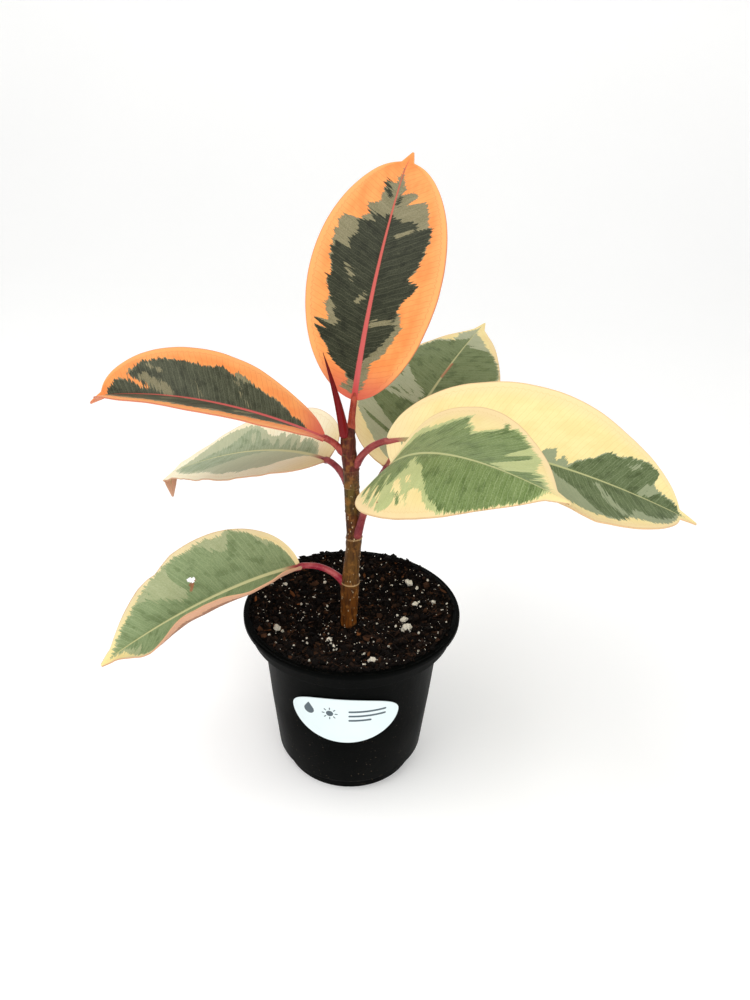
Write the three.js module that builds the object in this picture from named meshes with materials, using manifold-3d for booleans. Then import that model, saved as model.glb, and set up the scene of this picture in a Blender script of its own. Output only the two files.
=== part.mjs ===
// A young variegated rubber plant in a round nursery pot.
// Millimetres, +Z up. The origin is the middle of the pot's base, in the plane it stands on.
// -Y is the side with the label.
import * as THREE from "three";
import { mergeVertices } from "three/addons/utils/BufferGeometryUtils.js";
import Module from "manifold-3d";

const wasm = await Module();
wasm.setup();

// Clearance between pieces that touch.
const gap = 0.3;

// Pot: a thin moulded shell with a stepped foot, a stacking ledge and a flanged lip. Each
// radius is a step out from the one below it.
const potHeight = 90;
const potWall = 1.2;
const potFloor = 1.5;
const footRadius = 34.5;
const footHeight = 6.5;
const footDraft = 0.5;
const shoulderStep = 3.6;
const shoulderRise = 2;
const lowerWallFlare = 3.3;
const lowerWallHeight = 32.5;
const upperWallFlare = 3.1;
const ledgeBelowRim = 12;
const ledgeStep = 6.2;
const ledgeRise = 2;
const collarDraft = 1;
const lipOverhang = 2.3;
const lipThickness = 1.4;
const lipSkirt = 2.6;
const potSides = 36;

// Underside: a centre pad and the foot ring touch the ground, and a raised channel between
// them holds the drain holes.
const padRadius = 12;
const footRing = 5.5;
const channelHeight = 3;
const channelSlope = 2;
const drainHoles = 8;
const drainRadius = 3.5;

// Label: two half ellipses, shallow above and deep below, wrapped on the wall.
const labelWidth = 54;
const labelRise = 11.5;
const labelDrop = 17.5;
const labelBelowRim = 34;
const labelThickness = 0.4;
const labelAzimuth = -92;
// Share of the half turn that the outline's ends reach, so that they aren't sharp points.
const labelFullness = 0.96;

// Soil: dished around the stem, heaped towards the collar.
const soilBelowRim = 2.5;
const soilDish = 5;
const soilBump = 0.5;

// Stem: heights above the soil in the middle of the pot, sideways offset and radius there.
// The joints are thicker than the stretches between them.
const stemPlace = { x: -1.5, y: -5 };
const stemBuried = 38;
const stemSides = 16;
const stemStations = [
  { height: -stemBuried, offset: -0.5, radius: 2.6 },
  { height: -30, offset: -0.5, radius: 3.6 },
  { height: 0, offset: 0, radius: 3.6 },
  { height: 8, offset: 0.1, radius: 4.2 },
  { height: 22, offset: 0.4, radius: 4.5 },
  { height: 26, offset: 0.5, radius: 4.6 },
  { height: 29, offset: 0.7, radius: 4 },
  { height: 45, offset: 1.9, radius: 3.6 },
  { height: 51, offset: 2.1, radius: 3.9 },
  { height: 54, offset: 1.9, radius: 3.5 },
  { height: 65, offset: 1.3, radius: 3.6 },
  { height: 78, offset: 0.5, radius: 3.6 },
  { height: 86, offset: 0.3, radius: 3.7 },
  { height: 95, offset: -1.1, radius: 3.5 },
  { height: 105, offset: -1.5, radius: 3.2 },
];

// Roots: they leave the buried end of the stem and reach towards the wall.
const rootCount = 5;
const rootRadius = 1.2;
const rootToWall = 6;
const rootToFloor = 8;
const rootFirstDepth = 20;
const rootStep = 3;
const rootSag = 6;

// Bud sheath: a slender pointed cone beside the newest leaf's stalk.
const sheathLength = 38;
const sheathRadius = 2.35;
const sheathSeat = 1.5;
const sheathHeading = 240;
const sheathSpacing = 1.3;
const sheathLean = { x: -9, y: -2 };

// Leaf stalks and blades.
const stalkRadius = 2;
const stalkRoot = 3;
const stalkSteps = 8;
const stalkSides = 8;
const bladeThickness = 0.8;
const neckHalfWidth = 1.5;
const tipHalfWidth = 0.5;
const dripHalfWidth = 3.2;
const ribDepthAtBase = 1.5;
const ribDepthAtTip = 0.4;
const bladeStepsAlong = 18;
const bladeStepsAcross = 6;
const bladeEndFineness = 0.65;
const midribFineSteps = 4;
const dripShare = 0.06;
const hookStart = 0.86;
const hookSpan = 0.07;

// Lengths in millimetres and angles in degrees. joint is the height on the stem above the
// soil, heading is the compass direction seen from above (0 is +X, 90 is +Y), stalkTurn and
// swing turn the stalk and the midrib sideways, rise and pitch are the climb of the stalk and
// of the blade's base, droop and hook bend the midrib down, and bend says how late it droops.
// fold lifts each half of the blade from the midrib at the base and tipFold at the tip, curl
// rounds it towards the margin, and bulge adds curl in the middle of the length. baseShape and
// tipShape are the exponents of the outline.
const leaves = [
  {
    name: "lowest",
    joint: 24.5, heading: 200, stalkTurn: 18, stalk: 25.5, rise: 57,
    length: 104, width: 56, baseShape: 0.56, tipShape: 0.91,
    pitch: 0, droop: 34, bend: 0.6, hook: 3, swing: -1, roll: 0, twist: 38,
    left: { fold: 13, tipFold: 10, curl: 42, bulge: 44 },
    right: { fold: 37, tipFold: 34, curl: 11, bulge: 0 },
  },
  {
    name: "front",
    joint: 53, heading: -66, stalkTurn: -14, stalk: 52, rise: 75,
    length: 115, width: 65, baseShape: 0.43, tipShape: 0.81,
    pitch: 48, droop: 49, bend: 0.6, hook: 0, swing: 11, roll: -21, twist: 27,
    left: { fold: 16, tipFold: -15, curl: 12, bulge: -3 },
    right: { fold: -8, tipFold: -38, curl: -8, bulge: -8 },
  },
  {
    name: "back",
    joint: 65, heading: 63, stalkTurn: 28, stalk: 25, rise: 45,
    length: 130, width: 69, baseShape: 0.5, tipShape: 0.82,
    pitch: 30, droop: 20, bend: 0.9, hook: 0, swing: 0, roll: -12, twist: 18,
    left: { fold: 13, tipFold: 0, curl: 6, bulge: -3 },
    right: { fold: 2, tipFold: -10, curl: -3, bulge: 2 },
  },
  {
    name: "left",
    joint: 78, heading: 140, stalkTurn: 4, stalk: 16, rise: 56,
    length: 122, width: 62, baseShape: 0.49, tipShape: 1,
    pitch: 2, droop: 34, bend: 0.6, hook: 100, swing: 26, roll: 10, twist: -8,
    left: { fold: 8, tipFold: -6, curl: -3, bulge: -4 },
    right: { fold: 17, tipFold: 3, curl: 7, bulge: 8 },
  },
  {
    name: "right",
    joint: 89, heading: -26, stalkTurn: -3, stalk: 21, rise: 68,
    length: 136, width: 69, baseShape: 0.55, tipShape: 0.55,
    pitch: 23, droop: 48, bend: 0.6, hook: 0, swing: 19, roll: -9, twist: -3,
    left: { fold: 27, tipFold: 5, curl: 14, bulge: 8 },
    right: { fold: -42, tipFold: 8, curl: 10, bulge: 32 },
  },
  {
    name: "upper_left",
    joint: 95, heading: 187, stalkTurn: 1, stalk: 10.5, rise: 57,
    length: 110, width: 55, baseShape: 0.57, tipShape: 0.54,
    pitch: 25, droop: 40, bend: 1.2, hook: 13, swing: -22, roll: 0, twist: 19,
    left: { fold: 18, tipFold: 38, curl: -9, bulge: 0 },
    right: { fold: 19, tipFold: 39, curl: -9, bulge: 0 },
  },
  {
    name: "top",
    joint: 105, heading: 65, stalkTurn: 0, stalk: 13, rise: 82,
    length: 114, width: 61, baseShape: 0.58, tipShape: 0.59,
    pitch: 75, droop: 25, bend: 1, hook: 16, swing: 0, roll: -2, twist: -4,
    left: { fold: 7, tipFold: 4, curl: 4, bulge: 0 },
    right: { fold: 5, tipFold: 2, curl: 1, bulge: 0 },
  },
];
const bulgeMiddle = 0.5;
const bulgeSpread = 0.22;

// White perlite grains on the soil: compass direction, share of the soil's radius, size.
const perliteGrains = [
  { heading: -25, share: 0.6, size: 2.9 },
  { heading: -8, share: 0.53, size: 1.9 },
  { heading: 15, share: 0.67, size: 1.8 },
  { heading: 42, share: 0.79, size: 2.2 },
  { heading: 88, share: 0.69, size: 2 },
  { heading: 205, share: 0.79, size: 2 },
  { heading: 245, share: 0.48, size: 1.4 },
  { heading: 285, share: 0.83, size: 2.1 },
];
const perliteSunk = 0.35;
const perliteFlatness = 0.75;

const soilTop = potHeight - soilBelowRim;
const soilMiddle = soilTop - soilDish;
const channelOuterRadius = footRadius - footRing;

const rad = THREE.MathUtils.degToRad;

function standard(color, roughness, metalness = 0) {
  return new THREE.MeshStandardMaterial({ color, roughness, metalness });
}

const materials = {
  pot: standard("#17191a", 0.45),
  label: standard("#e8eef0", 0.55),
  soil: standard("#1d1512", 0.95),
  stem: standard("#6b5230", 0.7),
  root: standard("#b79a6b", 0.8),
  sheath: standard("#7d0f22", 0.4),
  stalk: standard("#a83c4c", 0.45),
  blade: standard("#6f8a5a", 0.4),
  youngBlade: standard("#ee8f4c", 0.4),
  perlite: standard("#e9e7de", 0.9),
};

// Linear reading of a table of stations.
function readTable(stations, at, from, what) {
  const last = stations.length - 1;
  if (at <= stations[0][from]) return stations[0][what];
  for (let i = 0; i < last; i++) {
    const a = stations[i];
    const b = stations[i + 1];
    if (at <= b[from]) {
      return THREE.MathUtils.mapLinear(at, a[from], b[from], a[what], b[what]);
    }
  }
  return stations[last][what];
}

// A closed mesh with its shared vertices merged, as a solid for joining and cutting.
function toSolid(geometry) {
  const plain = geometry.index ? geometry.toNonIndexed() : geometry.clone();
  plain.deleteAttribute("normal");
  plain.deleteAttribute("uv");
  const merged = mergeVertices(plain, 1e-3);
  const index = merged.index.array;
  const kept = [];
  for (let i = 0; i < index.length; i += 3) {
    const [a, b, c] = [index[i], index[i + 1], index[i + 2]];
    if (a !== b && b !== c && a !== c) kept.push(a, b, c);
  }
  return new wasm.Manifold(
    new wasm.Mesh({
      numProp: 3,
      vertProperties: merged.attributes.position.array,
      triVerts: new Uint32Array(kept),
    }),
  );
}

function toGeometry(solid) {
  const mesh = solid.getMesh();
  const geometry = new THREE.BufferGeometry();
  geometry.setAttribute("position", new THREE.BufferAttribute(mesh.vertProperties, 3));
  geometry.setIndex(new THREE.BufferAttribute(mesh.triVerts, 1));
  geometry.computeVertexNormals();
  return geometry;
}

// Moves every vertex of a geometry by a function of its place.
function reshape(geometry, place) {
  const position = geometry.attributes.position;
  const point = new THREE.Vector3();
  for (let i = 0; i < position.count; i++) {
    point.fromBufferAttribute(position, i);
    place(point);
    position.setXYZ(i, point.x, point.y, point.z);
  }
  return geometry;
}

// A profile of [radius, height] pairs turned about Z.
function turned(profile, sides) {
  const points = profile.map(([radius, height]) => new THREE.Vector2(radius, height));
  const geometry = new THREE.LatheGeometry(points, sides);
  geometry.rotateX(Math.PI / 2);
  return geometry;
}

// A round bar along a smooth path.
function bar(points, radius, steps, sides) {
  const section = new THREE.Shape();
  for (let i = 0; i < sides; i++) {
    const angle = (2 * Math.PI * i) / sides;
    const [x, y] = [radius * Math.cos(angle), radius * Math.sin(angle)];
    if (i === 0) section.moveTo(x, y);
    else section.lineTo(x, y);
  }
  section.closePath();
  const extrudePath = new THREE.CatmullRomCurve3(points);
  return new THREE.ExtrudeGeometry(section, { steps, extrudePath, bevelEnabled: false });
}

// Outer radius of the pot's wall, and the inner one, between the foot and the lip.
const wallStations = [{ height: 0, radius: footRadius }];

function addWallStation(height, step) {
  wallStations.push({ height, radius: wallStations.at(-1).radius + step });
}

const shoulderHeight = footHeight + shoulderRise;
const bendHeight = shoulderHeight + lowerWallHeight;
const ledgeHeight = potHeight - ledgeBelowRim;
addWallStation(footHeight, footDraft);
addWallStation(shoulderHeight, shoulderStep);
addWallStation(bendHeight, lowerWallFlare);
addWallStation(ledgeHeight, upperWallFlare);
addWallStation(ledgeHeight + ledgeRise, ledgeStep);
addWallStation(potHeight - lipThickness, collarDraft);
const collarRadius = wallStations.at(-1).radius;
const lipRadius = collarRadius + lipOverhang;

function outerRadius(height) {
  return readTable(wallStations, height, "height", "radius");
}

function innerRadius(height) {
  return outerRadius(height - potWall / 2) - potWall;
}

// Heights where the inside of the pot changes its slope, from the floor up.
const innerHeights = [
  footHeight + potWall / 2,
  shoulderHeight + potWall / 2,
  bendHeight,
  ledgeHeight + potWall / 2,
  ledgeHeight + ledgeRise + potWall / 2,
];

// Inside of the floor from the middle out, raised over the drain channel.
const floorProfile = [
  [0, potFloor],
  [padRadius + potWall / 2, potFloor],
  [padRadius + channelSlope, channelHeight + potFloor],
  [channelOuterRadius, channelHeight + potFloor],
  [channelOuterRadius + channelSlope - potWall / 2, potFloor],
];

function makePot() {
  const outside = [
    [0, 0],
    [padRadius, 0],
    [padRadius + channelSlope, channelHeight],
    [channelOuterRadius, channelHeight],
    [channelOuterRadius + channelSlope, 0],
    ...wallStations.map(({ radius, height }) => [radius, height]),
    [lipRadius - lipThickness, potHeight - lipThickness],
    [lipRadius - lipThickness, potHeight - lipSkirt],
    [lipRadius, potHeight - lipSkirt],
    [lipRadius, potHeight - lipThickness / 2],
    [lipRadius - lipThickness / 2, potHeight],
    [collarRadius - potWall, potHeight],
  ];
  const inside = [
    ...innerHeights.toReversed().map((height) => [innerRadius(height), height]),
    [innerRadius(footHeight), potFloor],
    ...floorProfile.toReversed(),
  ];
  let pot = toSolid(turned([...outside, ...inside], potSides));
  const drainCircle = (padRadius + channelSlope + channelOuterRadius) / 2;
  for (let i = 0; i < drainHoles; i++) {
    const angle = (2 * Math.PI * (i + 0.5)) / drainHoles;
    const drill = new THREE.CylinderGeometry(drainRadius, drainRadius, 4 * channelHeight, 12);
    drill.rotateX(Math.PI / 2);
    drill.translate(
      drainCircle * Math.cos(angle),
      drainCircle * Math.sin(angle),
      channelHeight + potFloor / 2,
    );
    pot = pot.subtract(toSolid(drill));
  }
  return toGeometry(pot);
}

function makeLabel() {
  const level = potHeight - labelBelowRim;
  const geometry = new THREE.BoxGeometry(2, 2, 1, 14, 8, 1);
  return reshape(geometry, (p) => {
    const across = Math.sin((p.x * Math.PI * labelFullness) / 2);
    const half = Math.sqrt(1 - across * across);
    const height = level + p.y * half * (p.y > 0 ? labelRise : labelDrop);
    const radius = outerRadius(height) + gap + (p.z + 0.5) * labelThickness;
    const angle = rad(labelAzimuth) + (across * labelWidth) / 2 / outerRadius(level);
    p.set(radius * Math.cos(angle), radius * Math.sin(angle), height);
  });
}

function stemCentre(height) {
  const x = stemPlace.x + readTable(stemStations, height, "height", "offset");
  return new THREE.Vector3(x, stemPlace.y, soilMiddle + height);
}

// The stem's outside grown by a margin: 0 for the stem itself, gap for what it fits in.
function makeStem(margin) {
  const low = stemStations[0].height;
  const high = stemStations.at(-1).height;
  const profile = [
    [0, low - margin],
    ...stemStations.map(({ radius, height }) => [radius + margin, height]),
    [0, high + margin],
  ];
  profile[1][1] -= margin;
  profile.at(-2)[1] += margin;
  return reshape(turned(profile, stemSides), (p) => {
    const centre = stemCentre(p.z);
    p.set(p.x + centre.x, p.y + centre.y, p.z + soilMiddle);
  });
}

// Root number i, grown by a margin.
function makeRoot(i, margin) {
  const depth = -rootFirstDepth - rootStep * i;
  const angle = (2 * Math.PI * (i + 0.3)) / rootCount;
  const start = stemCentre(depth);
  const endHeight = potFloor + channelHeight + rootToFloor + rootSag * (i % 2);
  const reach = innerRadius(endHeight) - rootToWall;
  const end = new THREE.Vector3(reach * Math.cos(angle), reach * Math.sin(angle), endHeight);
  const middle = start.clone().lerp(end, 0.5);
  middle.z += rootSag;
  const path = [start, middle, end];
  const root = toSolid(bar(path, rootRadius + margin, 10, 8));
  if (margin === 0) return root;
  const tip = new THREE.SphereGeometry(rootRadius + 2 * margin, 10, 6);
  tip.translate(end.x, end.y, end.z);
  return root.add(toSolid(tip));
}

// Height of the soil at a place: a shallow dish with low bumps.
function soilSurface(x, y) {
  const share = Math.hypot(x, y) / innerRadius(soilTop);
  const bump = Math.sin(x / 5.3) * Math.cos(y / 4.7) + Math.sin((x + y) / 8.1);
  return soilMiddle + soilDish * share ** 2 + (soilBump / 2) * bump;
}

function perliteSpot({ heading, share }) {
  const radius = share * (innerRadius(soilTop) - gap);
  const x = radius * Math.cos(rad(heading));
  const y = radius * Math.sin(rad(heading));
  return new THREE.Vector3(x, y, soilSurface(x, y));
}

function makePerlite(grain, margin) {
  const geometry = new THREE.IcosahedronGeometry(grain.size, 1);
  const spot = perliteSpot(grain);
  const grow = (grain.size + margin) / grain.size;
  return reshape(geometry, (p) => {
    const lump = 1 + 0.18 * Math.sin(2.1 * p.x + grain.heading) * Math.cos(1.7 * p.y);
    p.multiplyScalar(lump * grow);
    p.z = p.z * perliteFlatness + grain.size * perliteSunk;
    p.add(spot);
  });
}

function makeSoil() {
  const rimRadius = innerRadius(soilTop) - gap;
  const wall = innerHeights.map((height) => [innerRadius(height) - gap, height]);
  const topShares = [1, 0.8, 0.6, 0.4, 0.2, 0];
  const floor = floorProfile.map(([radius, height]) => [radius, height + gap]);
  const profile = [
    ...floor,
    [innerRadius(footHeight) - gap, potFloor + gap],
    ...wall,
    ...topShares.map((share) => [share * rimRadius, soilTop]),
  ];
  const geometry = reshape(turned(profile, potSides), (p) => {
    if (p.z > soilTop - 0.01) p.z = soilSurface(p.x, p.y);
  });
  let soil = toSolid(geometry).subtract(toSolid(makeStem(gap)));
  for (let i = 0; i < rootCount; i++) soil = soil.subtract(makeRoot(i, gap));
  for (const grain of perliteGrains) soil = soil.subtract(toSolid(makePerlite(grain, gap)));
  return toGeometry(soil);
}

// Cuts a piece back from the stem.
function clearOfStem(geometry) {
  return toGeometry(toSolid(geometry).subtract(toSolid(makeStem(gap))));
}

function makeSheath() {
  const steps = 8;
  const profile = [[0, 0]];
  for (let i = 0; i < steps; i++) {
    const share = i / steps;
    profile.push([sheathRadius * (1 - share) ** 0.8, share * sheathLength]);
  }
  profile.push([0, sheathLength]);
  const newest = leaves.at(-1);
  const apart = stalkRadius + sheathRadius + sheathSpacing;
  const foot = stemCentre(stemStations.at(-1).height)
    .addScaledVector(direction(newest.heading - newest.stalkTurn, 0), stalkRoot)
    .addScaledVector(direction(sheathHeading, 0), apart);
  const geometry = reshape(turned(profile, 12), (p) => {
    const share = Math.max(0, p.z / sheathLength) ** 1.3;
    p.x += foot.x + sheathLean.x * share;
    p.y += foot.y + sheathLean.y * share;
    p.z += foot.z - sheathSeat;
  });
  return clearOfStem(geometry);
}

// Unit vector with a compass heading and a climb, both in degrees.
function direction(heading, climb) {
  const [a, b] = [rad(heading), rad(climb)];
  return new THREE.Vector3(Math.cos(b) * Math.cos(a), Math.cos(b) * Math.sin(a), Math.sin(b));
}

// Centre line of a stalk, from the stem's axis to the blade.
function stalkPath(leaf) {
  const steps = 12;
  const firstHeading = leaf.heading - leaf.stalkTurn;
  const root = stemCentre(leaf.joint);
  const points = [root, root.clone().addScaledVector(direction(firstHeading, 0), stalkRoot)];
  for (let i = 0; i < steps; i++) {
    const share = (i + 0.5) / steps;
    const heading = firstHeading + leaf.stalkTurn * share;
    const climb = THREE.MathUtils.lerp(leaf.rise, leaf.pitch, share);
    const step = direction(heading, climb);
    points.push(points.at(-1).clone().addScaledVector(step, leaf.stalk / steps));
  }
  return points;
}

// The midrib's direction at a share of the blade's length.
function bladeDirection(leaf, share) {
  const hook = THREE.MathUtils.clamp((share - hookStart) / hookSpan, 0, 1) ** 1.5;
  const climb = leaf.pitch - leaf.droop * share ** leaf.bend - leaf.hook * hook;
  return direction(leaf.heading + leaf.swing * share, climb);
}

// Half the blade's width at a share of its length: an oval, round at the base, that runs out
// into a drip tip.
function bladeHalfWidth(leaf, share) {
  const { baseShape, tipShape } = leaf;
  const u = Math.min(1, share / (1 - dripShare));
  const widest = baseShape / (baseShape + tipShape);
  const peak = widest ** baseShape * (1 - widest) ** tipShape;
  const oval = (u ** baseShape * (1 - u) ** tipShape) / peak;
  const toTip = Math.min(1, (1 - share) / dripShare);
  const slender = THREE.MathUtils.lerp(neckHalfWidth, dripHalfWidth, share);
  const neck = THREE.MathUtils.lerp(tipHalfWidth, slender, toTip);
  return Math.hypot((leaf.width / 2) * oval, neck);
}

// Shares of the blade's length at its cross-sections, closer together at both ends.
function bladeShare(step) {
  const even = step / bladeStepsAlong;
  return even - (bladeEndFineness * Math.sin(2 * Math.PI * even)) / (2 * Math.PI);
}

// The midrib's points, and the sideways and upward directions there, at each cross-section.
function bladeFrames(leaf) {
  const point = stalkPath(leaf).at(-1).clone().addScaledVector(bladeDirection(leaf, 0), gap);
  const frames = [];
  for (let step = 0; step <= bladeStepsAlong; step++) {
    const share = bladeShare(step);
    if (step > 0) {
      const from = bladeShare(step - 1);
      for (let i = 0; i < midribFineSteps; i++) {
        const middle = THREE.MathUtils.lerp(from, share, (i + 0.5) / midribFineSteps);
        const length = ((share - from) * leaf.length) / midribFineSteps;
        point.addScaledVector(bladeDirection(leaf, middle), length);
      }
    }
    const along = bladeDirection(leaf, share);
    const heading = rad(leaf.heading + leaf.swing * share);
    const level = new THREE.Vector3(Math.sin(heading), -Math.cos(heading), 0);
    const side = level.applyAxisAngle(along, -rad(leaf.roll + leaf.twist * share));
    frames.push({ point: point.clone(), side, up: side.clone().cross(along), share });
  }
  return frames;
}

// A thin shell: a flat box of cells bent along the midrib, folded and curled on each side.
function makeBlade(leaf) {
  const frames = bladeFrames(leaf);
  const geometry = new THREE.BoxGeometry(2, 1, 1, bladeStepsAcross, bladeStepsAlong, 1);
  return reshape(geometry, (p) => {
    const { point, side, up, share } = frames[Math.round((p.y + 0.5) * bladeStepsAlong)];
    const out = Math.sign(p.x);
    const half = out < 0 ? leaf.left : leaf.right;
    const across = p.x * p.x;
    const fold = rad(THREE.MathUtils.lerp(half.fold, half.tipFold, share));
    const bulge = half.bulge * Math.exp(-(((share - bulgeMiddle) / bulgeSpread) ** 2));
    const curl = rad(half.curl + bulge) || 1e-3;
    const halfWidth = bladeHalfWidth(leaf, share);
    const away = (halfWidth * (Math.sin(fold + curl * across) - Math.sin(fold))) / curl;
    const lift = (halfWidth * (Math.cos(fold) - Math.cos(fold + curl * across))) / curl;
    const rib = THREE.MathUtils.lerp(ribDepthAtBase, ribDepthAtTip, share);
    const slope = fold + curl * across;
    const down = p.z < 0 ? bladeThickness + (out === 0 ? rib : 0) : 0;
    const sideways = out * (away + down * Math.sin(slope) * Math.abs(out));
    const upward = lift - down * Math.cos(out === 0 ? 0 : slope);
    p.copy(point).addScaledVector(side, sideways).addScaledVector(up, upward);
  });
}

function makeStalk(leaf) {
  return clearOfStem(bar(stalkPath(leaf), stalkRadius, stalkSteps, stalkSides));
}

const plant = new THREE.Group();

function addPiece(name, geometry, material) {
  const mesh = new THREE.Mesh(geometry, material);
  mesh.name = name;
  plant.add(mesh);
}

addPiece("pot", makePot(), materials.pot);
addPiece("label", makeLabel(), materials.label);
addPiece("soil", makeSoil(), materials.soil);
addPiece("stem", makeStem(0), materials.stem);
addPiece("bud_sheath", makeSheath(), materials.sheath);
for (let i = 0; i < rootCount; i++) {
  const root = makeRoot(i, 0).subtract(toSolid(makeStem(gap)));
  addPiece(`root_${i + 1}`, toGeometry(root), materials.root);
}
for (const leaf of leaves) {
  const young = leaf.name === "top" || leaf.name === "upper_left";
  addPiece(`stalk_${leaf.name}`, makeStalk(leaf), materials.stalk);
  addPiece(`leaf_${leaf.name}`, makeBlade(leaf), young ? materials.youngBlade : materials.blade);
}
perliteGrains.forEach((grain, i) => {
  addPiece(`perlite_${i + 1}`, makePerlite(grain, 0), materials.perlite);
});

export default plant;
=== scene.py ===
import math
import random
import bpy
import numpy as np
from mathutils import Matrix, Vector, noise


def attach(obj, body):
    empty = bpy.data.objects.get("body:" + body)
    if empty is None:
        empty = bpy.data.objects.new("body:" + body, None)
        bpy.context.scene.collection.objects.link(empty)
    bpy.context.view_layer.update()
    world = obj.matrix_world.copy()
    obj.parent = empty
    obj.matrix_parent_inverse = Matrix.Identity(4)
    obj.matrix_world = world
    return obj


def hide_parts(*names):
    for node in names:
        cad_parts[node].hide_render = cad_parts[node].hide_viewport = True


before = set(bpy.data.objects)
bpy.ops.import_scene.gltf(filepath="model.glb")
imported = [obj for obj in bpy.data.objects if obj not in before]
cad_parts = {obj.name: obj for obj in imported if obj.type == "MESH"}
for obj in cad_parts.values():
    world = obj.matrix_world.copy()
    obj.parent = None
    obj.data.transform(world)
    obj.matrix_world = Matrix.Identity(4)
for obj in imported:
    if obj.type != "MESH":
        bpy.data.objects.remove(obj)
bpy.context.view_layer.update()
mm = 0.001


# small tools for objects

def startFresh():
    if bpy.context.object and bpy.context.object.mode != "OBJECT":
        bpy.ops.object.mode_set(mode="OBJECT")
    bpy.ops.object.select_all(action="DESELECT")
    bpy.context.view_layer.objects.active = None


def makeActive(piece):
    startFresh()
    piece.select_set(True)
    bpy.context.view_layer.objects.active = piece


def named(name):
    piece = bpy.context.object
    piece.name = name
    piece.data.name = name
    return piece


def readPlaces(piece):
    places = np.empty(len(piece.data.vertices) * 3)
    piece.data.vertices.foreach_get("co", places)
    return places.reshape(-1, 3)


def writePlaces(piece, places):
    piece.data.vertices.foreach_set("co", np.asarray(places, dtype=float).ravel())
    piece.data.update()


def writeAttribute(piece, name, values):
    values = np.asarray(values, dtype=float)
    kind = "FLOAT" if values.ndim == 1 else "FLOAT_VECTOR"
    field = "value" if values.ndim == 1 else "vector"
    made = piece.data.attributes.new(name, kind, "POINT")
    made.data.foreach_set(field, values.ravel())


def readAttribute(piece, name):
    data = piece.data.attributes[name]
    wide = 1 if data.data_type == "FLOAT" else 3
    values = np.empty(len(piece.data.vertices) * wide)
    data.data.foreach_get("value" if wide == 1 else "vector", values)
    return values if wide == 1 else values.reshape(-1, 3)


def weld(piece, distance=1e-6):
    # joins points that lie together and turns every face outwards
    makeActive(piece)
    bpy.ops.object.mode_set(mode="EDIT")
    bpy.ops.mesh.select_all(action="SELECT")
    bpy.ops.mesh.remove_doubles(threshold=distance)
    bpy.ops.mesh.normals_make_consistent(inside=False)
    bpy.ops.object.mode_set(mode="OBJECT")


def applyModifier(piece, kind, **settings):
    makeActive(piece)
    modifier = piece.modifiers.new(kind.lower(), kind)
    for key, value in settings.items():
        setattr(modifier, key, value)
    bpy.ops.object.modifier_apply(modifier=modifier.name)


def smoothShade(piece, angle=40):
    makeActive(piece)
    bpy.ops.object.shade_smooth_by_angle(angle=math.radians(angle))


def finishPiece(piece, slot, *nodes):
    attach(piece, "root")
    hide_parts(*nodes)


def addSheet(name, steps, across):
    # a flat unit sheet: x runs along the piece, y across it
    startFresh()
    bpy.ops.mesh.primitive_grid_add(x_subdivisions=steps, y_subdivisions=across, size=1)
    return named(name)


def addTube(name, points, radii, sides, capRows=4):
    # a closed round bar along a path, both ends rounded over
    points = [np.array(p, dtype=float) for p in points]
    tangents = [points[1] - points[0]]
    tangents += [points[i + 1] - points[i - 1] for i in range(1, len(points) - 1)]
    tangents += [points[-1] - points[-2]]
    tangents = [t / np.linalg.norm(t) for t in tangents]
    sideways = np.cross(tangents[0], [0.13, 0.21, 0.97])
    rows = []
    for i, (point, tangent) in enumerate(zip(points, tangents)):
        sideways = sideways - tangent * np.dot(sideways, tangent)
        sideways /= np.linalg.norm(sideways)
        rows.append((point, sideways.copy(), np.cross(tangent, sideways), radii[i]))

    def cap(row, tangent, outward):
        point, first, second, radius = row
        made = []
        for k in range(capRows):
            a = math.pi / 2 * k / capRows
            place = point + tangent * outward * radius * 0.6 * math.cos(a)
            made.append((place, first, second, radius * math.sin(a)))
        return made

    rows = cap(rows[0], tangents[0], -1) + rows + cap(rows[-1], tangents[-1], 1)[::-1]
    piece = addSheet(name, len(rows) - 1, sides)
    flat = readPlaces(piece)
    index = np.rint((flat[:, 0] + 0.5) * (len(rows) - 1)).astype(int)
    angle = 2 * math.pi * (flat[:, 1] + 0.5)
    centre = np.array([row[0] for row in rows])[index]
    first = np.array([row[1] for row in rows])[index]
    second = np.array([row[2] for row in rows])[index]
    radius = np.array([row[3] for row in rows])[index]
    around = first * np.cos(angle)[:, None] + second * np.sin(angle)[:, None]
    writeAttribute(piece, "share", flat[:, 0] + 0.5)
    writePlaces(piece, (centre + around * radius[:, None]) * mm)
    weld(piece, 1e-7)
    return piece


# small tools for materials

def paint(red, green, blue):
    # a colour as mixed on screen, made linear
    def linear(value):
        value /= 255
        return value / 12.92 if value <= 0.04045 else ((value + 0.055) / 1.055) ** 2.4
    return (linear(red), linear(green), linear(blue), 1.0)


def startMaterial(name):
    material = bpy.data.materials.new(name)
    material.use_nodes = True
    material.node_tree.nodes.clear()
    return material, material.node_tree


def addNode(tree, kind, values=None, **settings):
    made = tree.nodes.new(kind)
    for key, value in settings.items():
        setattr(made, key, value)
    for key, value in (values or {}).items():
        if isinstance(value, bpy.types.NodeSocket):
            tree.links.new(value, made.inputs[key])
        else:
            made.inputs[key].default_value = value
    return made


def maths(tree, operation, first, second=0.0, third=0.0):
    return addNode(tree, "ShaderNodeMath", {0: first, 1: second, 2: third},
                   operation=operation).outputs[0]


def mixed(tree, factor, first, second, blend="MIX"):
    made = addNode(tree, "ShaderNodeMix", {0: factor, 6: first, 7: second},
                   data_type="RGBA", blend_type=blend)
    return made.outputs[2]


def band(tree, value, low, high, least=0.0, most=1.0):
    return addNode(tree, "ShaderNodeMapRange", {0: value, 1: low, 2: high, 3: least, 4: most},
                   interpolation_type="SMOOTHSTEP").outputs[0]


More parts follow.
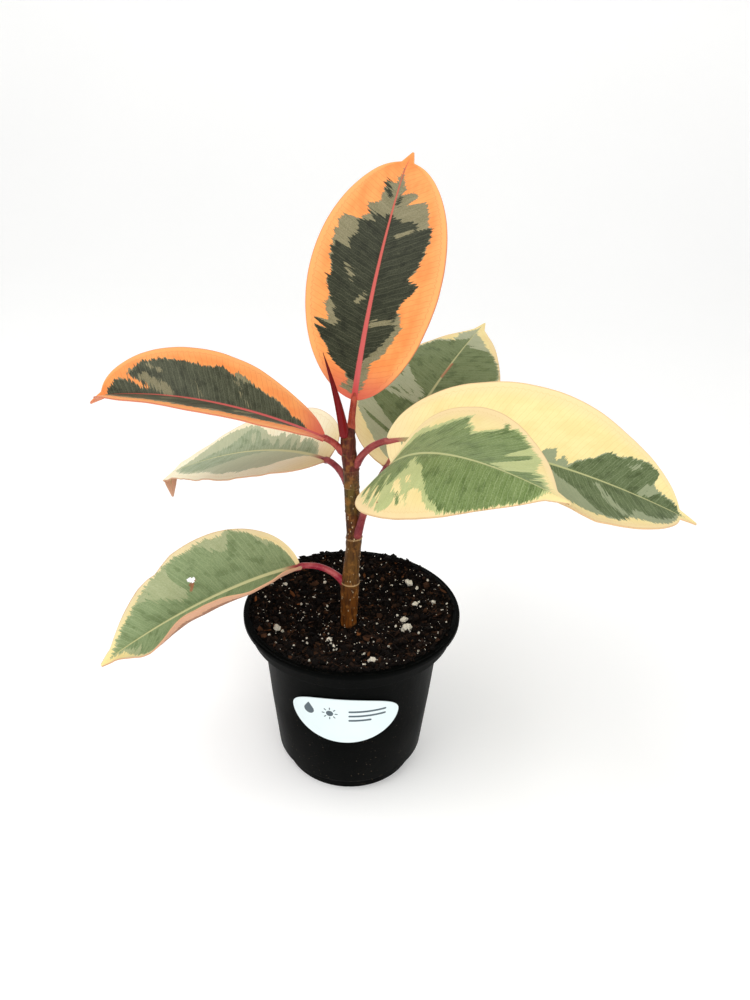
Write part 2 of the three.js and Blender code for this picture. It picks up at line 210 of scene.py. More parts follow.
def ramp(tree, factor, stops):
    made = addNode(tree, "ShaderNodeValToRGB", {0: factor})
    elements = made.color_ramp.elements
    while len(elements) < len(stops):
        elements.new(0.5)
    for element, (place, shade) in zip(elements, stops):
        element.position = place
        element.color = shade
    return made.outputs[0]


def objectPlace(tree, scale=(1, 1, 1)):
    place = addNode(tree, "ShaderNodeTexCoord").outputs["Object"]
    return addNode(tree, "ShaderNodeMapping", {"Vector": place, "Scale": scale}).outputs[0]


def grain(tree, place, scale, detail=2.0, roughness=0.5):
    return addNode(tree, "ShaderNodeTexNoise", {
        "Vector": place, "Scale": scale, "Detail": detail, "Roughness": roughness}).outputs[0]


def readField(tree, name):
    return addNode(tree, "ShaderNodeAttribute", attribute_name=name)


def endMaterial(material, tree, colour, roughness, height=None, depth=0.0001, **sockets):
    values = {"Base Color": colour, "Roughness": roughness}
    if height is not None:
        values["Normal"] = addNode(tree, "ShaderNodeBump", {
            "Height": height, "Distance": depth, "Strength": 1.0}).outputs[0]
    for key, value in sockets.items():
        values[key.replace("_", " ")] = value
    surface = addNode(tree, "ShaderNodeBsdfPrincipled", values)
    addNode(tree, "ShaderNodeOutputMaterial", {"Surface": surface.outputs[0]})
    return material


# camera, floor and light

view = {
    "place": (0.010, -0.3264, 0.3184),
    "pitchFromDown": 62.8,
    "roll": 1.73,
    "lens": 28,
    "sensor": 36,
}

startFresh()
bpy.ops.object.camera_add()
camera = named("viewCamera")
camera.data.lens = view["lens"]
camera.data.sensor_width = view["sensor"]
camera.data.clip_start = 0.01
camera.data.clip_end = 20
camera.matrix_world = (Matrix.Translation(view["place"])
                       @ Matrix.Rotation(math.radians(view["pitchFromDown"]), 4, "X")
                       @ Matrix.Rotation(math.radians(view["roll"]), 4, "Z"))
bpy.context.scene.camera = camera
bpy.context.scene.view_settings.view_transform = "Standard"

studio = {
    "floorSize": 4.0,
    "wallAt": 1.6,
    "wallHeight": 2.2,
    "bend": 0.5,
    "worldStrength": 0.62,
    "keyPlace": (-0.45, -0.35, 1.15),
    "keySize": 0.9,
    "keyPower": 6.3,
    "fillPlace": (0.4, -1.0, 0.4),
    "fillSize": 0.8,
    "fillPower": 4.4,
    "backdropGlow": 0.17,
    "aim": (0, 0, 0.15),
}


def buildStudio():
    startFresh()
    size = studio["floorSize"]
    bpy.ops.mesh.primitive_plane_add(size=size, location=(0, studio["wallAt"] - size / 2, 0))
    floor = named("floor")
    bpy.ops.object.mode_set(mode="EDIT")
    bpy.ops.mesh.select_all(action="DESELECT")
    bpy.ops.object.mode_set(mode="OBJECT")
    for edge in floor.data.edges:
        ends = [floor.data.vertices[i].co.y for i in edge.vertices]
        edge.select = min(ends) > size / 2 - 0.01
    bpy.ops.object.mode_set(mode="EDIT")
    bpy.ops.mesh.select_mode(type="EDGE")
    bpy.ops.mesh.extrude_region_move(
        TRANSFORM_OT_translate={"value": (0, 0, studio["wallHeight"])})
    bpy.ops.object.mode_set(mode="OBJECT")
    bpy.ops.object.transform_apply(location=True, rotation=False, scale=False)
    for edge in floor.data.edges:
        ends = [floor.data.vertices[i].co for i in edge.vertices]
        edge.select = all(e.y > studio["wallAt"] - 0.01 and e.z < 0.01 for e in ends)
    bpy.ops.object.mode_set(mode="EDIT")
    bpy.ops.mesh.bevel(offset=studio["bend"], segments=16, affect="EDGES")
    bpy.ops.object.mode_set(mode="OBJECT")
    smoothShade(floor, 30)
    material, tree = startMaterial("paleFloor")
    cloud = grain(tree, objectPlace(tree), 3.0, 3.0)
    shade = mixed(tree, cloud, paint(248, 248, 247), paint(252, 252, 251))
    floor.data.materials.append(endMaterial(
        material, tree, shade, 0.85, Emission_Color=(1, 1, 1, 1),
        Emission_Strength=studio["backdropGlow"]))

    world = bpy.data.worlds.new("studioLight")
    world.use_nodes = True
    back = world.node_tree.nodes["Background"]
    back.inputs["Color"].default_value = (1, 1, 1, 1)
    back.inputs["Strength"].default_value = studio["worldStrength"]
    bpy.context.scene.world = world
    for name in ("key", "fill"):
        startFresh()
        bpy.ops.object.light_add(type="AREA", location=studio[name + "Place"])
        lamp = named(name + "Light")
        lamp.data.shape = "DISK"
        lamp.data.size = studio[name + "Size"]
        lamp.data.energy = studio[name + "Power"]
        aim = Vector(studio["aim"]) - lamp.location
        lamp.rotation_euler = aim.to_track_quat("-Z", "Y").to_euler()


buildStudio()
print("studio ready")


# the pot, in mm
pot = {
    "height": 90, "wall": 1.2, "floor": 1.5,
    "padRadius": 12, "channelOuter": 29, "channelHeight": 3, "channelSlope": 2,
    "footHeight": 6.5,
    # outside of the wall: height and radius
    "outside": [(0, 34.5), (6.5, 35), (8.5, 38.6), (41, 41.9), (78, 45), (80, 51.2),
                (88.6, 52.2)],
    "insideHeights": [9.1, 41, 77.4, 79.4],
    "lipRadius": 54.5, "lipThickness": 1.4, "lipSkirt": 2.6,
    "sides": 120, "edgeRound": 0.35,
    "drainHoles": 8, "drainRadius": 3.5, "drainCircle": 21.5,
    "drillMiddle": 3.7, "drillDepth": 12,
}


def outerRadius(height):
    heights, radii = zip(*pot["outside"])
    return float(np.interp(height, heights, radii))


def innerRadius(height):
    return outerRadius(height - pot["wall"] / 2) - pot["wall"]


def turnRings(name, rings, sides):
    # a closed turned shape: rings of (radius, height), pulled out one after another
    startFresh()
    bpy.ops.mesh.primitive_circle_add(
        vertices=sides, radius=rings[0][0] * mm, fill_type="TRIFAN",
        location=(0, 0, rings[0][1] * mm))
    piece = named(name)
    bpy.ops.object.transform_apply(location=True, rotation=False, scale=False)
    bpy.ops.object.mode_set(mode="EDIT")
    bpy.ops.mesh.select_mode(type="VERT")
    bpy.ops.mesh.select_all(action="DESELECT")
    bpy.ops.mesh.select_non_manifold()
    for before, (radius, height) in zip(rings, rings[1:]):
        grow = radius / before[0]
        bpy.ops.mesh.extrude_region_move(
            TRANSFORM_OT_translate={"value": (0, 0, (height - before[1]) * mm)})
        bpy.ops.transform.resize(value=(grow, grow, 1), center_override=(0, 0, height * mm))
    bpy.ops.mesh.edge_face_add()
    bpy.ops.mesh.poke()
    bpy.ops.object.mode_set(mode="OBJECT")
    weld(piece)
    return piece


def buildPot():
    floor, rise = pot["floor"], pot["channelHeight"]
    slope, half = pot["channelSlope"], pot["wall"] / 2
    high, thick, skirt = pot["height"], pot["lipThickness"], pot["lipSkirt"]
    lip = pot["lipRadius"]
    outside = [(radius, height) for height, radius in pot["outside"]]
    rings = [(pot["padRadius"], 0), (pot["padRadius"] + slope, rise),
             (pot["channelOuter"], rise), (pot["channelOuter"] + slope, 0), *outside,
             (lip - thick, high - thick), (lip - thick, high - skirt), (lip, high - skirt),
             (lip, high - 0.5), (lip - 0.5, high), (lip - 1.0, high), (lip - 1.3, high - 0.2),
             (outside[-1][0] + 0.3, high - 0.2), (outside[-1][0], high),
             (outside[-1][0] - pot["wall"], high)]
    rings += [(innerRadius(h), h) for h in reversed(pot["insideHeights"])]
    rings += [(innerRadius(pot["footHeight"]), floor),
              (pot["channelOuter"] + slope - half, floor), (pot["channelOuter"], rise + floor),
              (pot["padRadius"] + slope, rise + floor), (pot["padRadius"] + half, floor)]
    piece = turnRings("plasticPot", rings, pot["sides"])
    applyModifier(piece, "BEVEL", width=pot["edgeRound"] * mm, segments=2,
                  limit_method="ANGLE", angle_limit=math.radians(25))
    for i in range(pot["drainHoles"]):
        angle = 2 * math.pi * (i + 0.5) / pot["drainHoles"]
        startFresh()
        bpy.ops.mesh.primitive_cylinder_add(
            vertices=32, radius=pot["drainRadius"] * mm, depth=pot["drillDepth"] * mm,
            location=(pot["drainCircle"] * math.cos(angle) * mm,
                      pot["drainCircle"] * math.sin(angle) * mm, pot["drillMiddle"] * mm))
        drill = named("drill")
        applyModifier(piece, "BOOLEAN", operation="DIFFERENCE", solver="EXACT", object=drill)
        bpy.data.objects.remove(drill)
    smoothShade(piece, 32)
    return piece


def blackPlastic():
    material, tree = startMaterial("blackPlastic")
    place = objectPlace(tree)
    streaks = grain(tree, objectPlace(tree, (1, 1, 0.12)), 90, 3, 0.6)
    cloud = grain(tree, place, 28, 4, 0.6)
    shade = mixed(tree, cloud, paint(1, 2, 2), paint(4, 5, 4))
    # dust: fine pale specks, thickest low on the wall
    high = addNode(tree, "ShaderNodeSeparateXYZ", {0: place}).outputs[2]
    low = band(tree, high, 0.08, 0.0, 0.1, 1.0)
    speck = addNode(tree, "ShaderNodeTexVoronoi", {"Vector": place, "Scale": 560.0})
    dots = band(tree, speck.outputs["Distance"], 0.17, 0.06)
    patch = band(tree, grain(tree, place, 70, 4, 0.65), 0.46, 0.6)
    dust = maths(tree, "MULTIPLY", maths(tree, "MULTIPLY", dots, patch), low)
    shade = mixed(tree, maths(tree, "MULTIPLY", dust, 0.75), shade, paint(128, 112, 92))
    film = band(tree, grain(tree, place, 14, 5, 0.7), 0.45, 0.75)
    shade = mixed(tree, maths(tree, "MULTIPLY", film, 0.006), shade, paint(96, 90, 80))
    rough = maths(tree, "MULTIPLY_ADD", streaks, 0.24, 0.36)
    rough = maths(tree, "ADD", rough, maths(tree, "MULTIPLY", dust, 0.4))
    height = maths(tree, "ADD", grain(tree, place, 900, 2), maths(tree, "MULTIPLY", streaks, 0.7))
    return endMaterial(material, tree, shade, rough, height, 0.00006,
                       Specular_IOR_Level=0.02)


plasticPot = buildPot()
plasticPot.data.materials.append(blackPlastic())
finishPiece(plasticPot, "pot", "pot")
print("pot ready")


# the label, with plain care pictograms, in mm
label = {
    "level": 56, "width": 54, "rise": 11.5, "drop": 17.5, "thickness": 0.3,
    "azimuth": -92, "clearance": 0.35, "steps": 72, "rows": 30,
    "sweep": 0.985, "markThickness": 0.1, "markCuts": 7,
    # pictograms: a drop, a sun with its rays, and three bars
    "dropRadius": 2.6, "dropPlace": (-17.5, 1.2),
    "sunRadius": 1.75, "sunPlace": (-7.0, 1.6), "rays": 8, "rayReach": 3.15,
    "rayLength": 0.9, "rayWidth": 0.55,
    "barsFrom": 2.5, "barWidth": 1.15, "bars": [(17, 3.6), (17, 0.7), (10, -2.2)],
}


def wrapOnPot(x, y, out):
    # x runs round the pot and y up it, both in mm from the label's middle
    angle = math.radians(label["azimuth"]) + x / outerRadius(label["level"])
    height = label["level"] + y
    heights, radii = zip(*pot["outside"])
    radius = np.interp(height, heights, radii) + label["clearance"] + out
    return np.stack([radius * np.cos(angle), radius * np.sin(angle), height], -1)


def buildLabel():
    piece = addSheet("careLabel", label["steps"], label["rows"])
    flat = readPlaces(piece) * 2
    across = np.sin(flat[:, 0] * math.pi / 2 * label["sweep"])
    half = np.sqrt(1 - across ** 2)
    tall = np.where(flat[:, 1] > 0, label["rise"], label["drop"])
    writePlaces(piece, wrapOnPot(across * label["width"] / 2, flat[:, 1] * half * tall, 0) * mm)
    applyModifier(piece, "SOLIDIFY", thickness=label["thickness"] * mm, offset=1)
    smoothShade(piece)
    return piece


def labelPaper():
    material, tree = startMaterial("labelPaper")
    place = objectPlace(tree)
    cloud = grain(tree, place, 60, 3)
    shade = mixed(tree, cloud, paint(216, 230, 231), paint(226, 238, 239))
    fine = grain(tree, place, 1400, 2)
    return endMaterial(material, tree, shade, maths(tree, "MULTIPLY_ADD", cloud, 0.15, 0.34),
                       fine, 0.00001, Coat_Weight=0.3, Coat_Roughness=0.25)


def discOutline(radius, corners=28):
    turns = [2 * math.pi * i / corners for i in range(corners)]
    return [(radius * math.sin(a), radius * math.cos(a)) for a in turns]


def dropOutline(radius, corners=40):
    made = []
    for i in range(corners):
        a = 2 * math.pi * i / corners
        point = max(0.0, math.cos(a)) ** 3
        made.append((radius * math.sin(a) * (1 - 0.55 * point),
                     radius * (math.cos(a) + 0.75 * point)))
    return made


def barOutline(length, width):
    ends = []
    for i in range(9):
        a = math.pi * i / 8
        ends.append((length / 2 + width / 2 * math.sin(a), width / 2 * math.cos(a)))
    for i in range(9):
        a = math.pi * i / 8
        ends.append((-length / 2 - width / 2 * math.sin(a), -width / 2 * math.cos(a)))
    return ends


def addMark(outline, x, y, turn=0.0):
    # a flat printed shape laid on the label
    startFresh()
    bpy.ops.mesh.primitive_circle_add(vertices=len(outline), radius=1, fill_type="TRIFAN")
    mark = named("mark")
    places = readPlaces(mark)
    ring = [i for i in range(len(places)) if math.hypot(*places[i][:2]) > 0.5]
    ring.sort(key=lambda i: -math.atan2(places[i][1], places[i][0]) % (2 * math.pi))
    middle = [i for i in range(len(places)) if i not in ring]
    flat = np.zeros((len(places), 2))
    flat[ring] = outline
    flat[middle] = np.mean(outline, axis=0)
    spin = np.array([[math.cos(turn), -math.sin(turn)], [math.sin(turn), math.cos(turn)]])
    flat = flat @ spin.T + [x, y]
    writePlaces(mark, np.stack([flat[:, 0], flat[:, 1], 0 * flat[:, 0]], -1))
    makeActive(mark)
    bpy.ops.object.mode_set(mode="EDIT")
    bpy.ops.mesh.select_all(action="SELECT")
    bpy.ops.mesh.subdivide(number_cuts=label["markCuts"])
    bpy.ops.object.mode_set(mode="OBJECT")
    flat = readPlaces(mark)
    writePlaces(mark, wrapOnPot(flat[:, 0], flat[:, 1], label["thickness"]) * mm)
    weld(mark)
    applyModifier(mark, "SOLIDIFY", thickness=label["markThickness"] * mm, offset=0)
    return mark


def buildMarks():
    marks = [addMark(dropOutline(label["dropRadius"]), *label["dropPlace"])]
    sunX, sunY = label["sunPlace"]
    marks.append(addMark(discOutline(label["sunRadius"]), sunX, sunY))
    for i in range(label["rays"]):
        a = 2 * math.pi * i / label["rays"]
        ray = barOutline(label["rayLength"], label["rayWidth"])
        marks.append(addMark(ray, sunX + label["rayReach"] * math.cos(a),
                             sunY + label["rayReach"] * math.sin(a), a))
    for length, level in label["bars"]:
        bar = barOutline(length, label["barWidth"])
        marks.append(addMark(bar, label["barsFrom"] + length / 2, level))
    startFresh()
    for mark in marks:
        mark.select_set(True)
    bpy.context.view_layer.objects.active = marks[0]
    bpy.ops.object.join()
    piece = named("careMarks")
    weld(piece, 1e-7)
    return piece


def printInk():
    material, tree = startMaterial("printInk")
    cloud = grain(tree, objectPlace(tree), 300, 3)
    shade = mixed(tree, cloud, paint(58, 72, 80), paint(84, 99, 107))
    return endMaterial(material, tree, shade, maths(tree, "MULTIPLY_ADD", cloud, 0.2, 0.35))


careLabel = buildLabel()
careLabel.data.materials.append(labelPaper())
finishPiece(careLabel, "label", "label")
careMarks = buildMarks()
careMarks.data.materials.append(printInk())
finishPiece(careMarks, "label", "label")
print("label ready")


# the soil and what lies on it, in mm; each grain is heading, share of the radius, size
soil = {
    "top": 87.5, "middle": 82.5, "dish": 5, "bump": 0.5, "clearance": 0.35, "bank": 2.4,
    "around": 220, "rings": 96,
    "crumbs": 4700, "lipCrumbs": 700, "chips": 340, "fibres": 640, "perliteBits": 470,
    "grains": [(-25, 0.6, 2.9), (-8, 0.53, 1.9), (15, 0.67, 1.8), (42, 0.79, 2.2),
               (88, 0.69, 2), (205, 0.79, 2), (245, 0.48, 1.4), (285, 0.83, 2.1)],
    "stemPlace": (-2.0, -5.0), "stemClear": 4.4,
    # below the top: where the wall starts, its heights, and height and radius of the bottom
    "wallTop": 80, "wallHeights": [77, 41, 9.5], "bottom": (5.2, 28),
    # loose clods that stand above the rim at the back: heading, reach, size
    "clods": [(112, 50.6, 2.6), (118, 49.6, 2.3), (107, 50.8, 1.9), (100, 50.2, 1.6),
              (124, 50.6, 2.0), (66, 50.6, 2.6), (60, 49.8, 2.2), (72, 50.9, 1.9),
              (55, 50.6, 1.8), (84, 50.8, 1.3), (137, 50.4, 1.6), (46, 50.6, 1.5)],
    "crumbsPerClod": 6,
}
soilRim = innerRadius(soil["top"]) - soil["clearance"]


def soilHeight(x, y, rough=True):
    share = math.hypot(x, y) / innerRadius(soil["top"])
    bump = math.sin(x / 5.3) * math.cos(y / 4.7) + math.sin((x + y) / 8.1)
    height = soil["middle"] + soil["dish"] * share ** 2 + soil["bump"] / 2 * bump
    height += soil["bank"] * max(0.0, min(1.0, (share - 0.72) / 0.26)) ** 1.5
    if rough:
        height += 1.5 * noise.fractal((x / 6, y / 6, 3.1), 0.7, 2.2, 4)
    return height


def buildSoil():
    # the top is a round sheet, and its edge is then pulled down to the pot's floor
    piece = addSheet("peatBed", soil["around"], soil["rings"])
    flat = readPlaces(piece)
    angle = 2 * math.pi * (flat[:, 0] + 0.5)
    radius = (flat[:, 1] + 0.5) * soilRim
    x, y = radius * np.cos(angle), radius * np.sin(angle)
    z = [soilHeight(a, b) for a, b in zip(x, y)]
    writePlaces(piece, np.stack([x, y, z], -1) * mm)
    weld(piece, 1e-7)
    makeActive(piece)
    bpy.ops.object.mode_set(mode="EDIT")
    bpy.ops.mesh.select_mode(type="VERT")
    bpy.ops.mesh.select_all(action="DESELECT")
    bpy.ops.mesh.select_non_manifold()
    bpy.ops.mesh.extrude_region_move()
    before, level = soilRim, soil["wallTop"]
    bpy.ops.transform.resize(value=(1, 1, 0), center_override=(0, 0, level * mm))
    below = [(height, innerRadius(height) - soil["clearance"]) for height in soil["wallHeights"]]
    for height, radius in below + [soil["bottom"]]:
        bpy.ops.mesh.extrude_region_move(
            TRANSFORM_OT_translate={"value": (0, 0, (height - level) * mm)})
        grow = radius / before
        bpy.ops.transform.resize(value=(grow, grow, 1), center_override=(0, 0, height * mm))
        before, level = radius, height
    bpy.ops.mesh.edge_face_add()
    bpy.ops.mesh.poke()
    bpy.ops.object.mode_set(mode="OBJECT")
    weld(piece, 1e-7)
    smoothShade(piece, 60)
    return piece


def bitShapes(levels, count, roughness, seed):
    # rough lumps to copy: unit size, each its own shape
    shapes = []
    for i in range(count):
        startFresh()
        bpy.ops.mesh.primitive_ico_sphere_add(subdivisions=levels, radius=1)
        lump = named("lump")
        places = readPlaces(lump)
        for k, p in enumerate(places):
            coarse = noise.noise(Vector(p) * 1.3 + Vector((i * 7.1, seed, 0)))
            fine = noise.noise(Vector(p) * 3.1 + Vector((seed, i * 3.7, 0)))
            places[k] = p * (1 + roughness * coarse + roughness * 0.6 * fine)
        faces = [tuple(face.vertices) for face in lump.data.polygons]
        shapes.append((places, faces))
        bpy.data.objects.remove(lump)
    return shapes


def strandShapes(count, seed):
    # thin curved fibres, four-sided
    draw = random.Random(seed)
    shapes = []
    for _ in range(count):
        points, steps = [], 7
        bend = draw.uniform(-1.4, 1.4)
        wave = draw.uniform(0, 6)
        for k in range(steps):
            t = k / (steps - 1) - 0.5
            points.append((t * 2, bend * t * t + 0.1 * math.sin(9 * t + wave), 0.25 * t * t))
        places, faces = [], []
        for k, p in enumerate(points):
            thin = 0.045 * (1 - 0.7 * abs(k / (steps - 1) - 0.5) * 2)
            for corner in range(4):
                a = math.pi / 2 * corner
                places.append((p[0], p[1] + thin * math.cos(a), p[2] + thin * math.sin(a)))
        for k in range(steps - 1):
            for corner in range(4):
                a, b = k * 4 + corner, k * 4 + (corner + 1) % 4
                faces.append((a, b, b + 4, a + 4))
        faces.append((3, 2, 1, 0))
        last = (steps - 1) * 4
        faces.append((last, last + 1, last + 2, last + 3))
        shapes.append((np.array(places), faces))
    return shapes


def spread(name, shapes, spots):
    # one mesh from many copies; each spot is shape, place, turn, size (x, y, z) and shade
    places, faces, shades, count = [], [], [], 0
    for which, place, turn, size, shade in spots:
        base, baseFaces = shapes[which]
        matrix = np.array(turn.to_matrix())
        moved = (base * size) @ matrix.T + place
        places.append(moved)
        faces += [tuple(i + count for i in face) for face in baseFaces]
        shades += [shade] * len(base)
        count += len(base)
    mesh = bpy.data.meshes.new(name)
    mesh.from_pydata((np.concatenate(places) * mm).tolist(), [], faces)
    piece = bpy.data.objects.new(name, mesh)
    bpy.context.scene.collection.objects.link(piece)
    writeAttribute(piece, "shade", shades)
    return piece


def anyTurn(draw):
    return Vector((draw.gauss(0, 1), draw.gauss(0, 1), draw.gauss(0, 1))).to_track_quat("Z", "Y")


def flatTurn(draw, tilt):
    spin = Matrix.Rotation(draw.uniform(0, 2 * math.pi), 3, "Z")
    lean = Matrix.Rotation(draw.uniform(-tilt, tilt), 3, "X")
    return (spin @ lean @ Matrix.Rotation(draw.uniform(-tilt, tilt), 3, "Y")).to_quaternion()


def soilSpot(draw, inner=0.0, outer=0.985):
    while True:
        radius = soilRim * math.sqrt(draw.uniform(inner ** 2, outer ** 2))
        angle = draw.uniform(0, 2 * math.pi)
        x, y = radius * math.cos(angle), radius * math.sin(angle)
        away = math.hypot(x - soil["stemPlace"][0], y - soil["stemPlace"][1])
        if away > soil["stemClear"]:
            return x, y


def buildCrumbs():
    draw = random.Random(11)
    spots = []
    for i in range(soil["crumbs"]):
        x, y = soilSpot(draw)
        size = min(2.1, 0.34 + draw.expovariate(2.4))
        shape = size * np.array([draw.uniform(0.7, 1.3), draw.uniform(0.6, 1.1),
                                 draw.uniform(0.5, 1.0)])
        z = soilHeight(x, y) + shape[2] * draw.uniform(0.0, 0.7)
        spots.append((i % 8, np.array([x, y, z]), anyTurn(draw), shape, draw.random()))
    for heading, reach, size in soil["clods"]:
        a = math.radians(heading)
        x, y = reach * math.cos(a), reach * math.sin(a)
        for k in range(soil["crumbsPerClod"]):
            dx, dy = draw.gauss(0, size * 0.5), draw.gauss(0, size * 0.5)
            small = size * draw.uniform(0.4, 0.8)
            if math.hypot(x + dx, y + dy) + small > pot["lipRadius"] - 1:
                continue
            z = pot["height"] + draw.uniform(0.0, 0.9) * size
            shape = small * np.array([1.2, 0.9, 0.9])
            spots.append((k, np.array([x + dx, y + dy, z]), anyTurn(draw), shape,
                          draw.uniform(0, 0.6)))
    # crumbs that lie on the inner edge of the lip, in loose patches
    for i in range(soil["lipCrumbs"]):
        a = draw.uniform(0, 2 * math.pi)
        if noise.noise((math.cos(a) * 4, math.sin(a) * 4, 1.5)) < -0.12:
            continue
        size = min(0.95, 0.25 + draw.expovariate(4.0))
        reach = soilRim + draw.uniform(-1.2, 1.3)
        place = np.array([reach * math.cos(a), reach * math.sin(a),
                          pot["height"] + size * draw.uniform(0.1, 0.6)])
        spots.append((i % 8, place, anyTurn(draw), size * np.array([1.0, 0.9, 0.7]),
                      draw.uniform(0, 0.8)))
    return spread("peatCrumbs", bitShapes(1, 8, 0.9, 2.5), spots)


def buildChips():
    draw = random.Random(23)
    spots = []
    for i in range(soil["chips"]):
        x, y = soilSpot(draw)
        long = draw.uniform(0.9, 3.0)
        shape = np.array([long, long * draw.uniform(0.2, 0.45), draw.uniform(0.15, 0.35)])
        z = soilHeight(x, y) + 0.5 + shape[2]
        spots.append((i % 5, np.array([x, y, z]), flatTurn(draw, 0.5), shape, draw.random()))
    return spread("barkChips", bitShapes(1, 5, 0.7, 9.2), spots)


def buildFibres():
    draw = random.Random(37)
    spots = []
    for i in range(soil["fibres"]):
        x, y = soilSpot(draw, 0, 0.95)
        long = draw.uniform(1.2, 4.2)
        wide = draw.uniform(1.3, 2.6)
        z = soilHeight(x, y) + draw.uniform(0.6, 1.4)
        spots.append((i % 9, np.array([x, y, z]), flatTurn(draw, 0.35),
                      np.array([long, wide, wide]), draw.random()))
    return spread("peatFibres", strandShapes(9, 5), spots)


def buildPerliteBits():
    draw = random.Random(41)
    spots = []
    for i in range(soil["perliteBits"]):
        x, y = soilSpot(draw)
        size = min(1.1, 0.13 + draw.expovariate(6.5))
        shape = size * np.array([draw.uniform(0.8, 1.3), draw.uniform(0.7, 1.1),
                                 draw.uniform(0.6, 1.0)])
        z = soilHeight(x, y) + 0.85 + shape[2] * 0.4
        spots.append((i % 6, np.array([x, y, z]), anyTurn(draw), shape, draw.random()))
    return spread("perliteBits", bitShapes(2, 6, 0.75, 14.4), spots)


def buildPerliteGrain(index, heading, share, size):
    a = math.radians(heading)
    reach = share * (innerRadius(soil["top"]) - 0.3)
    x, y = reach * math.cos(a), reach * math.sin(a)
    startFresh()
    bpy.ops.mesh.primitive_ico_sphere_add(subdivisions=4, radius=1)
    piece = named("perliteGrain%d" % index)
    places = readPlaces(piece)
    for k, p in enumerate(places):
        v = Vector(p)
        swell = 1 + 0.55 * noise.noise(v * 1.2 + Vector((index * 5.3, 0, 0)))
        pits = 0.28 * abs(noise.noise(v * 3.0 + Vector((0, index * 2.9, 0))))
        fine = 0.10 * noise.noise(v * 8.0)
        places[k] = p * (swell - pits + fine) * 0.92
    places[:, 2] *= 0.8
    z = soilHeight(x, y, False) + size * 0.35 + 0.7
    writePlaces(piece, (places * size + [x, y, z]) * mm)
    smoothShade(piece, 60)
    return piece


def peat(name, dark, pale, brown, brownShare):
    material, tree = startMaterial(name)
    place = objectPlace(tree)
    cloud = grain(tree, place, 260, 5, 0.7)
    shade = mixed(tree, band(tree, cloud, 0.35, 0.7), dark, pale)
    spots = band(tree, grain(tree, place, 420, 3, 0.6), 1 - brownShare, 1.02 - brownShare * 0.8)
    shade = mixed(tree, spots, shade, brown)
    height = grain(tree, place, 700, 4, 0.7)
    return endMaterial(material, tree, shade, 0.92, height, 0.0006, Specular_IOR_Level=0.1)


def bitMaterial(name, stops, rough, fineScale, depth):
    material, tree = startMaterial(name)
    place = objectPlace(tree)
    which = readField(tree, "shade").outputs["Fac"]
    fine = grain(tree, place, fineScale, 4, 0.65)
    shade = ramp(tree, which, stops)
    shade = mixed(tree, maths(tree, "MULTIPLY", fine, 0.55), shade, paint(8, 5, 4))
    return endMaterial(material, tree, shade, rough, fine, depth, Specular_IOR_Level=0.12)


def perliteMaterial():
    material, tree = startMaterial("perliteStone")
    place = objectPlace(tree)
    pits = addNode(tree, "ShaderNodeTexVoronoi", {"Vector": place, "Scale": 1300.0})
    cloud = grain(tree, place, 500, 4, 0.6)
    shade = mixed(tree, cloud, paint(214, 206, 186), paint(244, 240, 226))
    dirt = band(tree, grain(tree, place, 340, 3, 0.6), 0.55, 0.75)
    shade = mixed(tree, maths(tree, "MULTIPLY", dirt, 0.55), shade, paint(110, 92, 68))
    height = maths(tree, "ADD", pits.outputs["Distance"], cloud)
    return endMaterial(material, tree, shade, 0.85, height, 0.0004)


peatBed = buildSoil()
peatBed.data.materials.append(peat("peatMix", paint(6, 4, 3), paint(22, 15, 11),
                                   paint(52, 32, 18), 0.3))
finishPiece(peatBed, "soil", "soil")
peatCrumbs = buildCrumbs()
peatCrumbs.data.materials.append(bitMaterial(
    "peatCrumb", [(0.0, paint(6, 4, 3)), (0.6, paint(18, 12, 9)), (0.86, paint(46, 32, 23)),
                  (1.0, paint(84, 54, 34))], 0.9, 600, 0.0004))
finishPiece(peatCrumbs, "soil", "soil")
barkChips = buildChips()
barkChips.data.materials.append(bitMaterial(
    "barkChip", [(0.0, paint(14, 9, 6)), (0.6, paint(34, 20, 12)), (0.9, paint(72, 44, 25)),
                 (1.0, paint(138, 84, 44))], 0.8, 500, 0.0003))
finishPiece(barkChips, "soil", "soil")
peatFibres = buildFibres()
peatFibres.data.materials.append(bitMaterial(
    "peatFibre", [(0.0, paint(16, 10, 7)), (0.6, paint(46, 31, 22)), (1.0, paint(98, 70, 48))],
    0.8, 500, 0.0002))
finishPiece(peatFibres, "soil", "soil")
perliteStone = perliteMaterial()
perliteBits = buildPerliteBits()
perliteBits.data.materials.append(perliteStone)
finishPiece(perliteBits, "perlite", "soil")
for number, (heading, share, size) in enumerate(soil["grains"], 1):
    grainPiece = buildPerliteGrain(number, heading, share, size)
    grainPiece.data.materials.append(perliteStone)
    finishPiece(grainPiece, "perlite", "perlite_%d" % number)
print("soil ready")


